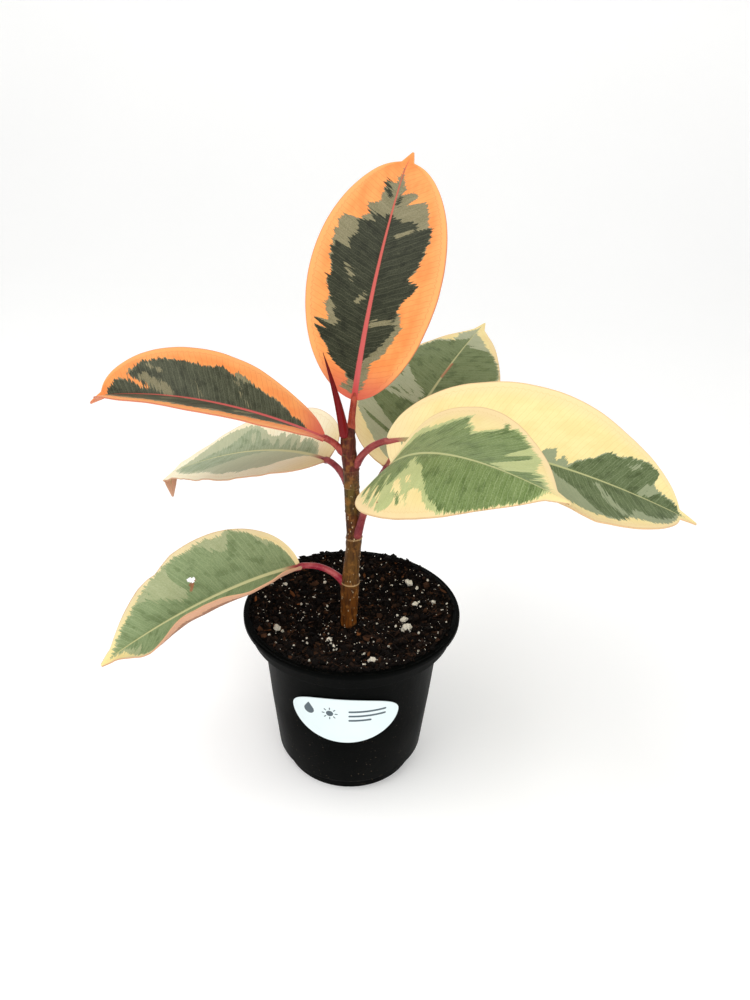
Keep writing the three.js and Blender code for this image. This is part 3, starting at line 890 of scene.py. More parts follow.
# the stem, in mm
stem = {
    "place": (-1.5, -5), "foot": 82.5, "sides": 40, "step": 0.7,
    # height above the soil's middle, offset along x, radius
    "stations": [(-38, -0.5, 2.6), (-30, -0.5, 3.6), (0, 0, 3.6), (8, 0.1, 4.2),
                 (22, 0.4, 4.5), (26, 0.5, 4.6), (29, 0.7, 4), (45, 1.9, 3.6), (51, 2.1, 3.9),
                 (54, 1.9, 3.5), (65, 1.3, 3.6), (78, 0.5, 3.6), (86, 0.3, 3.7),
                 (95, -1.1, 3.5), (105, -1.5, 3.2)],
    # leaf scars: height above the soil's middle, tilt along x, height of the ridge, paleness
    "scars": [(25.6, -0.05, 0.34, 1), (50.6, 0.06, 0.3, 0.95), (64.6, 0.02, 0.28, 0.4),
              (77.4, -0.1, 0.26, 0.45), (86.0, 0.12, 0.24, 0.3), (94.2, -0.08, 0.2, 0.3),
              (104.2, 0.0, 0.2, 0.2)],
    "scarWidth": 0.42,
    "easing": 1.6,  # the corners at the joints are eased over this distance
}


def stemCentre(height):
    heights, offsets, _ = zip(*stem["stations"])
    return np.array([stem["place"][0] + np.interp(height, heights, offsets), stem["place"][1],
                     stem["foot"] + height])


def buildStem():
    heights, offsets, radii = (np.array(column) for column in zip(*stem["stations"]))
    low, high = heights[0] + 0.8, heights[-1] - 0.6
    levels = np.linspace(low, high, int((high - low) / stem["step"]))

    def eased(values, level):
        near = level + np.linspace(-stem["easing"], stem["easing"], 7)
        return float(np.mean(np.interp(near, heights, values)))

    points = [(stem["place"][0] + eased(offsets, h), stem["place"][1], stem["foot"] + h)
              for h in levels]
    thick = [eased(radii, h) for h in levels]
    piece = addTube("woodyStem", points, thick, stem["sides"])
    places = readPlaces(piece) / mm
    ring = np.zeros(len(places))
    for k, p in enumerate(places):
        height = p[2] - stem["foot"]
        centre = stemCentre(height)
        out = np.array([p[0] - centre[0], p[1] - centre[1]])
        size = np.hypot(*out)
        if size < 0.5:
            continue
        swell = 0.0
        for at, tilt, ridge, pale in stem["scars"]:
            away = height - at - tilt * out[0]
            swell += ridge * math.exp(-(away / stem["scarWidth"]) ** 2)
            swell -= ridge * 0.5 * math.exp(-((away + 1.0) / 0.6) ** 2)
            ring[k] = max(ring[k], pale * math.exp(-(away / (stem["scarWidth"] * 0.9)) ** 2))
        v = Vector((p[0] * 0.9, p[1] * 0.9, p[2] * 0.12))
        wrinkle = 0.16 * noise.fractal(v, 0.8, 2.0, 3)
        lump = 0.12 * noise.noise(Vector(p) * 0.35)
        flare = 0.5 * math.exp(-((height - 0.5) / 2.2) ** 2)
        flare *= 0.6 + 0.7 * noise.noise(Vector((math.atan2(out[1], out[0]) * 1.5, height * 0.4, 7)))
        grow = (size + swell + wrinkle + lump + max(0, flare)) / size
        places[k][0] = centre[0] + out[0] * grow
        places[k][1] = centre[1] + out[1] * grow
    writePlaces(piece, places * mm)
    writeAttribute(piece, "scar", ring)
    smoothShade(piece, 80)
    return piece


def stemBark():
    material, tree = startMaterial("stemBark")
    place = objectPlace(tree)
    high = addNode(tree, "ShaderNodeSeparateXYZ", {0: place}).outputs[2]
    wander = maths(tree, "MULTIPLY_ADD", grain(tree, place, 120, 3), 0.004, -0.002)
    level = addNode(tree, "ShaderNodeMapRange", {0: maths(tree, "ADD", high, wander),
                                                 1: 0.080, 2: 0.188}).outputs[0]
    young = ramp(tree, level, [
        (0.0, paint(138, 78, 26)), (0.10, paint(112, 64, 20)), (0.25, paint(96, 56, 18)),
        (0.28, paint(104, 70, 26)), (0.48, paint(94, 62, 24)), (0.50, paint(84, 44, 16)),
        (0.61, paint(90, 50, 18)), (0.63, paint(92, 68, 26)), (0.73, paint(94, 76, 30)),
        (0.76, paint(98, 74, 36)), (0.80, paint(98, 60, 34)), (0.83, paint(92, 38, 30)),
        (0.93, paint(98, 44, 32)), (1.0, paint(84, 36, 30))])
    streak = grain(tree, objectPlace(tree, (1, 1, 0.14)), 900, 4, 0.65)
    shade = mixed(tree, band(tree, streak, 0.38, 0.66, 0.0, 0.75), young, paint(46, 24, 9))
    blotch = grain(tree, place, 240, 4, 0.6)
    shade = mixed(tree, band(tree, blotch, 0.5, 0.68, 0.0, 0.6), shade, paint(150, 98, 44))
    # pale corky specks, more of them low down
    speck = addNode(tree, "ShaderNodeTexVoronoi", {
        "Vector": objectPlace(tree, (1, 1, 0.6)), "Scale": 700.0})
    dots = band(tree, speck.outputs["Distance"], 0.26, 0.14)
    some = band(tree, grain(tree, place, 330, 2), 0.46, 0.54)
    lower = band(tree, high, 0.172, 0.150)
    dots = maths(tree, "MULTIPLY", maths(tree, "MULTIPLY", dots, some), lower)
    shade = mixed(tree, maths(tree, "MULTIPLY", dots, 0.8), shade, paint(206, 184, 146))
    scar = readField(tree, "scar").outputs["Fac"]
    broken = maths(tree, "MULTIPLY", band(tree, scar, 0.1, 0.9),
                   band(tree, grain(tree, place, 420, 2), 0.3, 0.5, 0.45, 1.0))
    shade = mixed(tree, maths(tree, "MULTIPLY", broken, 0.85), shade, paint(196, 160, 112))
    rough = maths(tree, "MULTIPLY_ADD", streak, 0.3, 0.38)
    height = maths(tree, "ADD", streak, maths(tree, "MULTIPLY", dots, 0.6))
    return endMaterial(material, tree, shade, rough, height, 0.00025,
                       Specular_IOR_Level=0.14)


woodyStem = buildStem()
woodyStem.data.materials.append(stemBark())
finishPiece(woodyStem, "stem", "stem")
print("stem ready")


# the roots keep their shape and get a better finish
rootCount = 5


def rootSkin():
    material, tree = startMaterial("rootSkin")
    place = objectPlace(tree)
    cloud = grain(tree, place, 300, 4, 0.6)
    shade = mixed(tree, cloud, paint(150, 110, 66), paint(196, 158, 108))
    return endMaterial(material, tree, shade, 0.8, cloud, 0.0003)


rootMaterial = rootSkin()
for number in range(1, rootCount + 1):
    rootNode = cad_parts["root_%d" % number]
    for place in rootNode.material_slots:
        place.material = rootMaterial


# the measures of the leaves, in mm and degrees
# joint is where the stalk leaves the stem, above the soil's middle
# left and right hold fold at the base, fold at the tip, curl and bulge of the curl
# trim widens or narrows each half's outline, and tear is its place and half sizes in shares
# most of these values were found by a fitting program and rounded, and the rest set one by one

leafShape = {
    "thickness": 0.6, "stalkRoot": 3, "stalkRadius": 2.0, "stalkRun": 0.05,
    "along": 230, "across": 76, "dripShare": 0.06, "hookStart": 0.86, "hookSpan": 0.07,
    "tipHalfWidth": 0.4, "neckHalfWidth": 1.9, "dripHalfWidth": 3.0,
    "veinSpacing": 2.3, "veinDepth": 0.02, "ribGroove": 0.34, "ribBead": 0.42,
    "bulgeMiddle": 0.5, "bulgeSpread": 0.22, "stalkRunSteps": 8,
}

leaves = {
    "lowest": dict(
        joint=24.5, heading=200, stalkTurn=18, stalk=25.5, rise=57, length=104, width=56,
        baseShape=0.56, tipShape=0.91, pitch=0, droop=34, bend=0.6, hook=3, swing=-1, roll=0,
        twist=38, left=(13, 10, 38, 36), right=(37, 34, 11, 0), ripple=1.0,
        tear=(0.47, 0.43, 0.015, 0.05),
        trim=([(0.55, 1), (0.68, 1.12), (0.8, 1.12), (0.9, 1)],
              [(0.5, 1), (0.56, 0.95), (0.59, 0.92), (0.63, 0.97), (0.68, 1)])),
    "front": dict(
        joint=53, heading=-66, stalkTurn=-14, stalk=52, rise=75, length=115, width=65,
        baseShape=0.43, tipShape=0.81, pitch=48, droop=49, bend=0.6, hook=0, swing=11,
        roll=-21, twist=27, left=(16, -15, 12, -3), right=(-8, -38, -8, -8), ripple=0.6),
    "back": dict(
        joint=65, heading=63, stalkTurn=28, stalk=25, rise=45, length=130, width=69,
        baseShape=0.5, tipShape=0.82, pitch=30, droop=20, bend=0.9, hook=0, swing=0, roll=-12,
        twist=18, left=(13, 0, 6, -3), right=(2, -10, -3, 2), ripple=0.8),
    "left": dict(
        joint=78, heading=140, stalkTurn=4, stalk=16, rise=56, length=122, width=62,
        baseShape=0.49, tipShape=1, pitch=2, droop=34, bend=0.6, hook=100, swing=26, roll=10,
        twist=-8, left=(8, -6, -3, -4), right=(17, 3, 7, 8), ripple=0.9, tipSwing=-55,
        trim=([(0.82, 1), (0.88, 1.35), (0.94, 1.8), (1, 1)],
              [(0.82, 1), (0.88, 1.35), (0.94, 1.8), (1, 1)])),
    "right": dict(
        joint=89, heading=-26, stalkTurn=-3, stalk=21, rise=68, length=136, width=69,
        baseShape=0.55, tipShape=0.55, pitch=23, droop=48, bend=0.6, hook=0, swing=19,
        roll=-9, twist=-3, left=(27, 5, 14, 8), right=(-42, 8, 10, 32), ripple=0.6,
        trim=([(0, 1), (1, 1)], [(0.2, 1), (0.32, 0.8), (0.56, 0.8), (0.68, 1)])),
    "upper_left": dict(
        joint=95, heading=187, stalkTurn=1, stalk=10.5, rise=57, length=110, width=55,
        baseShape=0.57, tipShape=0.54, pitch=25, droop=40, bend=1.2, hook=13, swing=-22,
        roll=0, twist=19, left=(18, 38, -9, 0), right=(19, 39, -9, 0), ripple=0.5),
    "top": dict(
        joint=105, heading=65, stalkTurn=0, stalk=13, rise=82, length=114, width=61,
        baseShape=0.58, tipShape=0.59, pitch=75, droop=25, bend=1, hook=16, swing=0, roll=-2,
        twist=-4, left=(7, 4, 4, 0), right=(5, 2, 1, 0), ripple=0.4),
}

# where each leaf's colours lie: share along the blade, share of the half width.
# green is the outer edge of the green zone, core the edge of its dark middle, and each
# stroke is zone, start, end, half width in mm
patterns = {
    "top": dict(
        left=dict(
            green=[(.03, 0), (.035, .5), (.05, .5), (.05, .3), (.10, .33), (.12, .5), (.14, .62),
                   (.18, .66), (.2, .72), (.22, .8), (.26, .86), (.285, .88), (.29, .82),
                   (.25, .6), (.28, .62), (.32, .66), (.355, .7), (.37, .62), (.41, .68),
                   (.445, .72), (.455, .66), (.5, .72), (.56, .77), (.62, .8), (.66, .8),
                   (.69, .78), (.68, .5), (.74, .5), (.72, .38), (.76, .3), (.8, .32),
                   (.85, .35), (.84, .12), (.88, .05), (.9, 0)],
            core=[(.05, 0), (.05, .3), (.1, .33), (.12, .5), (.14, .62), (.18, .66), (.2, .72),
                  (.22, .8), (.26, .86), (.285, .88), (.29, .82), (.245, .6), (.26, .5),
                  (.29, .48), (.31, .55), (.34, .52), (.36, .6), (.37, .62), (.41, .68),
                  (.445, .72), (.46, .66), (.5, .7), (.56, .76), (.585, .72), (.56, .5),
                  (.6, .52), (.62, .45), (.68, .5), (.74, .5), (.70, .35), (.68, .22),
                  (.7, .1), (.72, .0)]),
        right=dict(
            green=[(.03, 0), (.06, .08), (.1, .15), (.14, .25), (.17, .4), (.2, .48), (.25, .55),
                   (.3, .62), (.31, .58), (.3, .48), (.35, .46), (.4, .5), (.41, .58),
                   (.44, .65), (.46, .65), (.47, .5), (.51, .58), (.55, .64), (.6, .7),
                   (.66, .75), (.7, .68), (.74, .7), (.78, .65), (.8, .6), (.79, .48),
                   (.82, .45), (.81, .38), (.77, .3), (.75, .2), (.82, .18), (.79, .08),
                   (.88, .06), (.9, 0)],
            core=[(.1, 0), (.15, .05), (.19, .25), (.21, .35), (.24, .38), (.26, .45),
                  (.3, .5), (.31, .45), (.35, .45), (.4, .5), (.41, .58), (.44, .65),
                  (.46, .65), (.47, .48), (.51, .58), (.55, .63), (.6, .68), (.66, .75),
                  (.68, .7), (.66, .5), (.7, .48), (.69, .25), (.71, .05), (.72, 0)]),
        strokes=[("grey", (.295, .08), (.31, .5), .8), ("grey", (.635, .2), (.66, .42), .6),
                 ("grey", (.365, -.22), (.395, -.12), .7), ("grey", (.45, -.34), (.5, -.48), .6),
                 ("core", (.79, -.14), (.84, -.32), 1.2), ("core", (.76, .06), (.79, .1), .8),
                 ("grey", (.04, .1), (.12, .2), 1.6), ("grey", (.03, -.2), (.05, -.45), .9)]),
    "upper_left": dict(
        left=dict(
            green=[(.04, 0), (.1, .3), (.2, .6), (.3, .72), (.45, .8), (.6, .84), (.75, .8),
                   (.85, .7), (.9, .4), (.91, 0)],
            core=[(.05, 0), (.1, .2), (.16, .5), (.2, .45), (.26, .68), (.3, .6), (.36, .74),
                  (.42, .66), (.5, .8), (.58, .74), (.66, .8), (.74, .7), (.82, .66),
                  (.88, .4), (.9, 0)]),
        right=dict(
            green=[(.05, 0), (.08, .1), (.11, .28), (.13, .2), (.14, .27), (.16, .33), (.18, .4),
                   (.21, .48), (.26, .52), (.3, .55), (.34, .6), (.36, .65), (.4, .7),
                   (.42, .72), (.41, .6), (.43, .64), (.46, .7), (.49, .72), (.51, .66),
                   (.55, .65), (.58, .68), (.63, .7), (.67, .73), (.7, .76), (.74, .76),
                   (.79, .78), (.81, .66), (.83, .66), (.84, .45), (.88, .52), (.9, .4),
                   (.91, .1), (.915, 0)],
            core=[(.06, 0), (.08, .08), (.11, .26), (.14, .25), (.16, .31), (.18, .38),
                  (.21, .46), (.26, .5), (.3, .53), (.34, .58), (.36, .56), (.4, .58),
                  (.41, .6), (.43, .64), (.46, .7), (.49, .72), (.51, .66), (.55, .65),
                  (.58, .68), (.63, .7), (.67, .73), (.7, .76), (.74, .76), (.79, .78),
                  (.81, .64), (.84, .42), (.88, .52), (.9, .4), (.91, .1), (.915, 0)]),
        strokes=[("margin", (.74, .14), (.85, .6), .9), ("grey", (.64, .05), (.76, .4), 2.0),
                 ("grey", (.32, .1), (.38, .33), .7), ("grey", (.375, .4), (.4, .5), .5),
                 ("grey", (.51, .08), (.56, .35), .5), ("grey", (.7, .5), (.76, .66), .7),
                 ("grey", (.3, -.2), (.36, -.5), .9), ("grey", (.55, -.1), (.62, -.5), 1.1)]),
    "left": dict(
        left=dict(
            green=[(.05, 0), (.1, .1), (.15, .35), (.17, .5), (.2, .65), (.25, .72), (.29, .78),
                   (.31, .82), (.33, .76), (.38, .78), (.41, .83), (.45, .82), (.48, .8),
                   (.52, .75), (.56, .72), (.6, .7), (.64, .73), (.68, .75), (.72, .73),
                   (.76, .7), (.79, .6), (.81, .45), (.82, .3), (.84, .15), (.86, 0)],
            core=[(.28, 0), (.4, .2), (.45, .35), (.5, .45), (.55, .55), (.6, .62), (.68, .66),
                  (.74, .62), (.78, .5), (.8, .3), (.81, 0)]),
        right=dict(
            green=[(.05, 0), (.07, .2), (.09, .33), (.14, .38), (.17, .35), (.18, .2), (.2, .38),
                   (.25, .42), (.28, .35), (.30, .45), (.33, .35), (.38, .42), (.41, .55),
                   (.44, .65), (.5, .8), (.55, .85), (.6, .9), (.65, .88), (.7, .8), (.75, .6),
                   (.8, .3), (.84, 0)],
            core=[(.06, 0), (.08, .22), (.13, .33), (.165, .3), (.17, 0), (.2, 0), (.21, .33),
                  (.25, .36), (.26, .05), (.3, .05), (.32, .35), (.36, .3), (.4, .3), (.43, .5),
                  (.47, .65), (.5, .7), (.53, .6), (.56, .4), (.6, .3), (.66, .25), (.7, .1),
                  (.74, 0)]),
        strokes=[("grey", (.43, .25), (.47, .5), .8), ("core", (.6, -.15), (.75, -.3), 3.0)]),
    "lowest": dict(
        left=dict(
            green=[(.02, .2), (.06, .6), (.12, .75), (.3, .8), (.5, .8), (.65, .85), (.7, .88),
                   (.8, .86), (.84, .7), (.88, .3), (.93, .2), (.95, 0)],
            core=[(.02, .1), (.06, .5), (.12, .7), (.3, .75), (.5, .72), (.62, .3), (.66, .6),
                  (.7, .84), (.8, .84), (.83, .7), (.82, .4), (.78, .2), (.8, .1), (.9, 0)]),
        right=dict(
            green=[(.02, .3), (.05, .7), (.08, .75), (.1, .8), (.13, .8), (.15, .88), (.2, .92),
                   (.24, .98), (.27, .97), (.3, .9), (.33, .92), (.36, .95), (.4, .9),
                   (.45, .9), (.5, .92), (.53, .97), (.6, .97), (.63, .93), (.65, .9),
                   (.68, .88), (.72, .85), (.75, .85), (.77, .8), (.8, .76), (.84, .78),
                   (.88, .75), (.9, .6), (.93, .3), (.95, 0)],
            core=[(.02, .25), (.05, .65), (.08, .72), (.1, .72), (.12, .65), (.14, .75),
                  (.16, .86), (.2, .9), (.24, .95), (.27, .85), (.29, .62), (.33, .6),
                  (.345, .75), (.36, .78), (.38, .86), (.45, .88), (.5, .9), (.53, .95),
                  (.55, .8), (.535, .5), (.51, .2), (.55, .26), (.58, .4), (.61, .5),
                  (.64, .56), (.65, .7), (.66, .85), (.72, .82), (.77, .75), (.84, .7),
                  (.88, .5), (.9, .35), (.93, 0)]),
        strokes=[("grey", (.53, .3), (.6, .78), 2.6), ("grey", (.57, .42), (.63, .62), 2.2),
                 ("scar", (.455, .40), (.485, .36), .55), ("stain", (.47, .36), (.49, .27), .7)]),
    "back": dict(
        left=dict(
            green=[(.03, 0), (.06, .4), (.1, .6), (.14, .75), (.17, .85), (.2, .9), (.3, .92),
                   (.5, .9), (.6, .93), (.7, .95), (.78, .95), (.8, .6), (.84, .62),
                   (.86, .85), (.9, .7), (.93, .3), (.95, 0)],
            core=[(.14, 0), (.16, .6), (.2, .84), (.3, .88), (.32, .8), (.33, .1), (.35, .1),
                  (.37, .5), (.4, .6), (.45, .3), (.47, .4), (.5, .8), (.6, .9), (.7, .92),
                  (.77, .9), (.79, .5), (.81, .4), (.83, .1), (.85, 0)]),
        right=dict(
            green=[(.02, 0), (.08, .6), (.2, .8), (.4, .88), (.55, .9), (.6, .96), (.66, .98),
                   (.72, .95), (.77, .8), (.82, .6), (.86, .42), (.88, .2), (.9, 0)],
            core=[(.1, 0), (.2, .5), (.35, .7), (.42, .8), (.55, .86), (.6, .93), (.66, .96),
                  (.72, .92), (.77, .78), (.8, .6), (.84, .5), (.84, .3), (.78, .15), (.76, .05),
                  (.78, 0)]),
        strokes=[("grey", (.345, -.12), (.34, -.75), 1.6), ("grey", (.38, -.15), (.46, -.5), 2.6),
                 ("grey", (.42, -.6), (.46, -.75), 1.2), ("stain", (.52, .0), (.62, .02), .7),
                 ("margin", (.8, -.55), (.84, -.95), 1.2)]),
    "right": dict(
        left=dict(
            green=[(.48, 0), (.5, .2), (.53, .24), (.545, .05), (.56, .2), (.58, .05), (.59, .1),
                   (.6, .18), (.62, .22), (.64, .32), (.65, .3), (.67, .44), (.7, .56),
                   (.73, .54), (.75, .66), (.78, .72), (.8, .8), (.83, .87), (.853, .9),
                   (.858, .8), (.85, .45), (.87, .4), (.9, .46), (.92, .6), (.93, .6),
                   (.945, .3), (.95, 0)],
            core=[(.58, 0), (.6, .15), (.62, .2), (.64, .3), (.65, .28), (.67, .42), (.7, .55),
                  (.73, .52), (.75, .64), (.78, .7), (.8, .78), (.83, .86), (.853, .88),
                  (.858, .75), (.845, .45), (.82, .05), (.83, .03), (.85, .2), (.87, .36),
                  (.9, .42), (.925, .58), (.935, .4), (.945, 0)]),
        right=dict(
            green=[(.02, 0), (.08, .1), (.3, .2), (.45, .3), (.5, .4), (.55, .6), (.6, .72),
                   (.66, .8), (.7, .78), (.75, .84), (.78, .68), (.82, .72), (.86, .8),
                   (.9, .85), (.93, .6), (.95, 0)],
            core=[(.5, 0), (.56, .2), (.62, .35), (.66, .55), (.7, .72), (.74, .8), (.77, .76),
                  (.78, .62), (.8, .4), (.84, .55), (.88, .6), (.91, .5), (.94, 0)]),
        strokes=[("grey", (.71, .3), (.76, .6), 1.4), ("grey", (.81, -.06), (.83, -.3), .9),
                 ("grey", (.77, -.5), (.79, -.62), .6), ("grey", (.68, .1), (.72, .3), .8)]),
    "front": dict(
        left=dict(
            green=[(.03, .5), (.06, .8), (.1, .77), (.14, .68), (.2, .7), (.25, .76), (.28, .8),
                   (.31, .84), (.33, .68), (.36, .66), (.4, .56), (.44, .65), (.48, .68),
                   (.495, .85), (.52, .92), (.58, .93), (.65, .9), (.7, .88), (.75, .88),
                   (.775, .7), (.8, .6), (.83, .66), (.86, .62), (.88, .55), (.91, .4),
                   (.92, .2), (.925, 0)],
            core=[(.04, .2), (.1, .6), (.14, .55), (.2, .6), (.25, .7), (.28, .76), (.31, .8),
                  (.33, .64), (.36, .6), (.4, .5), (.44, .6), (.48, .62), (.495, .8),
                  (.52, .88), (.58, .9), (.65, .86), (.7, .84), (.715, .7), (.7, .5),
                  (.65, .42), (.63, .4), (.66, .05), (.75, .03), (.79, .25), (.8, .56),
                  (.83, .6), (.86, .5), (.84, .15), (.88, .3), (.9, .2), (.91, 0)]),
        right=dict(
            green=[(.03, .4), (.06, .75), (.1, .85), (.2, .88), (.3, .9), (.34, .94), (.38, .92),
                   (.4, .72), (.43, .62), (.46, .56), (.5, .6), (.53, .7), (.58, .86),
                   (.63, .95), (.7, .98), (.8, .99), (.86, .96), (.89, .9), (.91, .75),
                   (.925, .3), (.93, 0)],
            core=[(.04, .1), (.07, .55), (.1, .8), (.18, .84), (.24, .8), (.28, .6), (.3, .3),
                  (.34, .2), (.38, .2), (.42, .3), (.46, .42), (.5, .52), (.55, .68),
                  (.6, .82), (.65, .93), (.7, .97), (.8, .98), (.86, .92), (.88, .94),
                  (.9, .8), (.915, 0)]),
        strokes=[("margin", (.325, .5), (.43, .8), 1.7), ("margin", (.36, .4), (.42, .55), .7),
                 ("margin", (.13, .66), (.2, .98), .6), ("margin", (.2, .6), (.27, .98), .7),
                 ("margin", (.07, .7), (.12, .95), .5), ("margin", (.27, .7), (.33, .98), .8),
                 ("grey", (.3, .15), (.42, .42), 1.7), ("grey", (.22, .4), (.32, .8), .8),
                 ("grey", (.14, .4), (.2, .75), .7), ("grey", (.4, .5), (.47, .8), .9),
                 ("core", (.38, .66), (.42, .78), .8), ("scar", (.30, .8), (.32, .84), .4),
                 ("core", (.48, -.88), (.5, -.8), 1.0)]),
}


def level(heading):
    a = math.radians(heading)
    return np.array([math.cos(a), math.sin(a), 0.0])


def direction(heading, climb):
    c = math.radians(climb)
    return level(heading) * math.cos(c) + np.array([0, 0, math.sin(c)])


def stalkPath(leaf, steps=12):
    first = leaf["heading"] - leaf["stalkTurn"]
    root = stemCentre(leaf["joint"])
    points = [root, root + level(first) * leafShape["stalkRoot"]]
    for i in range(steps):
        share = (i + 0.5) / steps
        climb = leaf["rise"] + (leaf["pitch"] - leaf["rise"]) * share
        step = direction(first + leaf["stalkTurn"] * share, climb)
        points.append(points[-1] + step * leaf["stalk"] / steps)
    return points


def hookShare(share):
    return min(1, max(0, (share - leafShape["hookStart"]) / leafShape["hookSpan"])) ** 1.5


def bladeHeading(leaf, share):
    turned = leaf.get("tipSwing", 0) * hookShare(share)
    return leaf["heading"] + leaf["swing"] * share + turned


def bladeDirection(leaf, share):
    hook = hookShare(share)
    climb = leaf["pitch"] - leaf["droop"] * share ** leaf["bend"] - leaf["hook"] * hook
    return direction(bladeHeading(leaf, share), climb)


def halfWidth(leaf, share, out=0.0):
    base, tip, drip = leaf["baseShape"], leaf["tipShape"], leafShape["dripShare"]
    u = np.minimum(1, share / (1 - drip))
    widest = base / (base + tip)
    peak = widest ** base * (1 - widest) ** tip
    oval = u ** base * (1 - u) ** tip / peak
    toTip = np.minimum(1, (1 - share) / drip)
    thin, wide = leafShape["tipHalfWidth"], leafShape["neckHalfWidth"]
    slender = wide + (leafShape["dripHalfWidth"] - wide) * share
    neck = thin + (slender - thin) * toTip
    if "trim" in leaf:
        left, right = (np.interp(share, *zip(*points)) for points in leaf["trim"])
        oval = oval * np.where(out < 0, left, right)
    return np.hypot(leaf["width"] / 2 * oval, neck)


def bladeRows(leaf, shares):
    # midrib point, side and up at each share along the blade
    point = stalkPath(leaf)[-1]
    middles, sides, ups, last = [], [], [], 0.0
    for share in shares:
        parts = max(1, math.ceil((share - last) * 240))
        for i in range(parts):
            near = last + (share - last) * (i + 0.5) / parts
            point = point + bladeDirection(leaf, near) * (share - last) * leaf["length"] / parts
        last = share
        along = bladeDirection(leaf, share)
        flat = -level(bladeHeading(leaf, share) + 90)
        a = -math.radians(leaf["roll"] + leaf["twist"] * share)
        side = (flat * math.cos(a) + np.cross(along, flat) * math.sin(a)
                + along * np.dot(along, flat) * (1 - math.cos(a)))
        middles.append(point)
        sides.append(side)
        ups.append(np.cross(side, along))
    return np.array(middles), np.array(sides), np.array(ups)


def veinLean(share):
    return 0.25 + 0.35 * share


def zoneEdge(leaf, points, origin):
    # the zone's edge as a share of the half width, for side veins that start at origin (mm)
    at, edge = [], []
    for share, out in points:
        wide = halfWidth(leaf, np.array(share))
        at.append(share * leaf["length"] - veinLean(share) * out * float(wide))
        edge.append(out)
    order = np.argsort(at, kind="stable")
    return np.interp(origin, np.array(at)[order], np.array(edge)[order], left=0, right=0)


def strokeDistance(x, y, start, end):
    ax, ay = start
    bx, by = end
    long = (bx - ax) ** 2 + (by - ay) ** 2 + 1e-9
    t = np.clip(((x - ax) * (bx - ax) + (y - ay) * (by - ay)) / long, 0, 1)
    return np.hypot(x - ax - t * (bx - ax), y - ay - t * (by - ay))


def leafZones(name, share, out, wide):
    # distances in mm into the green zone, into its dark middle and into scars
    leaf, pattern = leaves[name], patterns[name]
    along = share * leaf["length"]
    away = np.abs(out) * wide
    origin = along - veinLean(share) * away
    green, core = np.empty_like(share), np.empty_like(share)
    for half, mask in (("left", out < 0), ("right", out >= 0)):
        for zone, field in (("green", green), ("core", core)):
            points = pattern[half][zone]
            edge = zoneEdge(leaf, points, origin[mask])
            ends = np.minimum(share[mask] - points[0][0], points[-1][0] - share[mask])
            field[mask] = np.minimum((edge - np.abs(out[mask])) * wide[mask],
                                     ends * leaf["length"] * 0.6)
    scar = np.full_like(share, -5.0)
    stain = np.full_like(share, -5.0)
    for zone, start, end, half in pattern["strokes"]:
        ends = []
        for s, o in (start, end):
            ends.append((s * leaf["length"], o * float(halfWidth(leaf, np.array(s)))))
        inside = half - strokeDistance(along, out * wide, *ends)
        if zone == "grey":
            core = np.minimum(core, -inside)
            green = np.maximum(green, inside)
        elif zone == "margin":
            core, green = np.minimum(core, -inside), np.minimum(green, -inside)
        elif zone == "core":
            core, green = np.maximum(core, inside), np.maximum(green, inside)
        elif zone == "scar":
            scar = np.maximum(scar, inside)
        else:
            stain = np.maximum(stain, inside)
    return origin, away, np.maximum(green, core), core, scar, stain


def ribHalfWidth(name, share):
    return (0.16 + 1.3 * (1 - share) ** 1.35) * skins[name]["ribScale"]


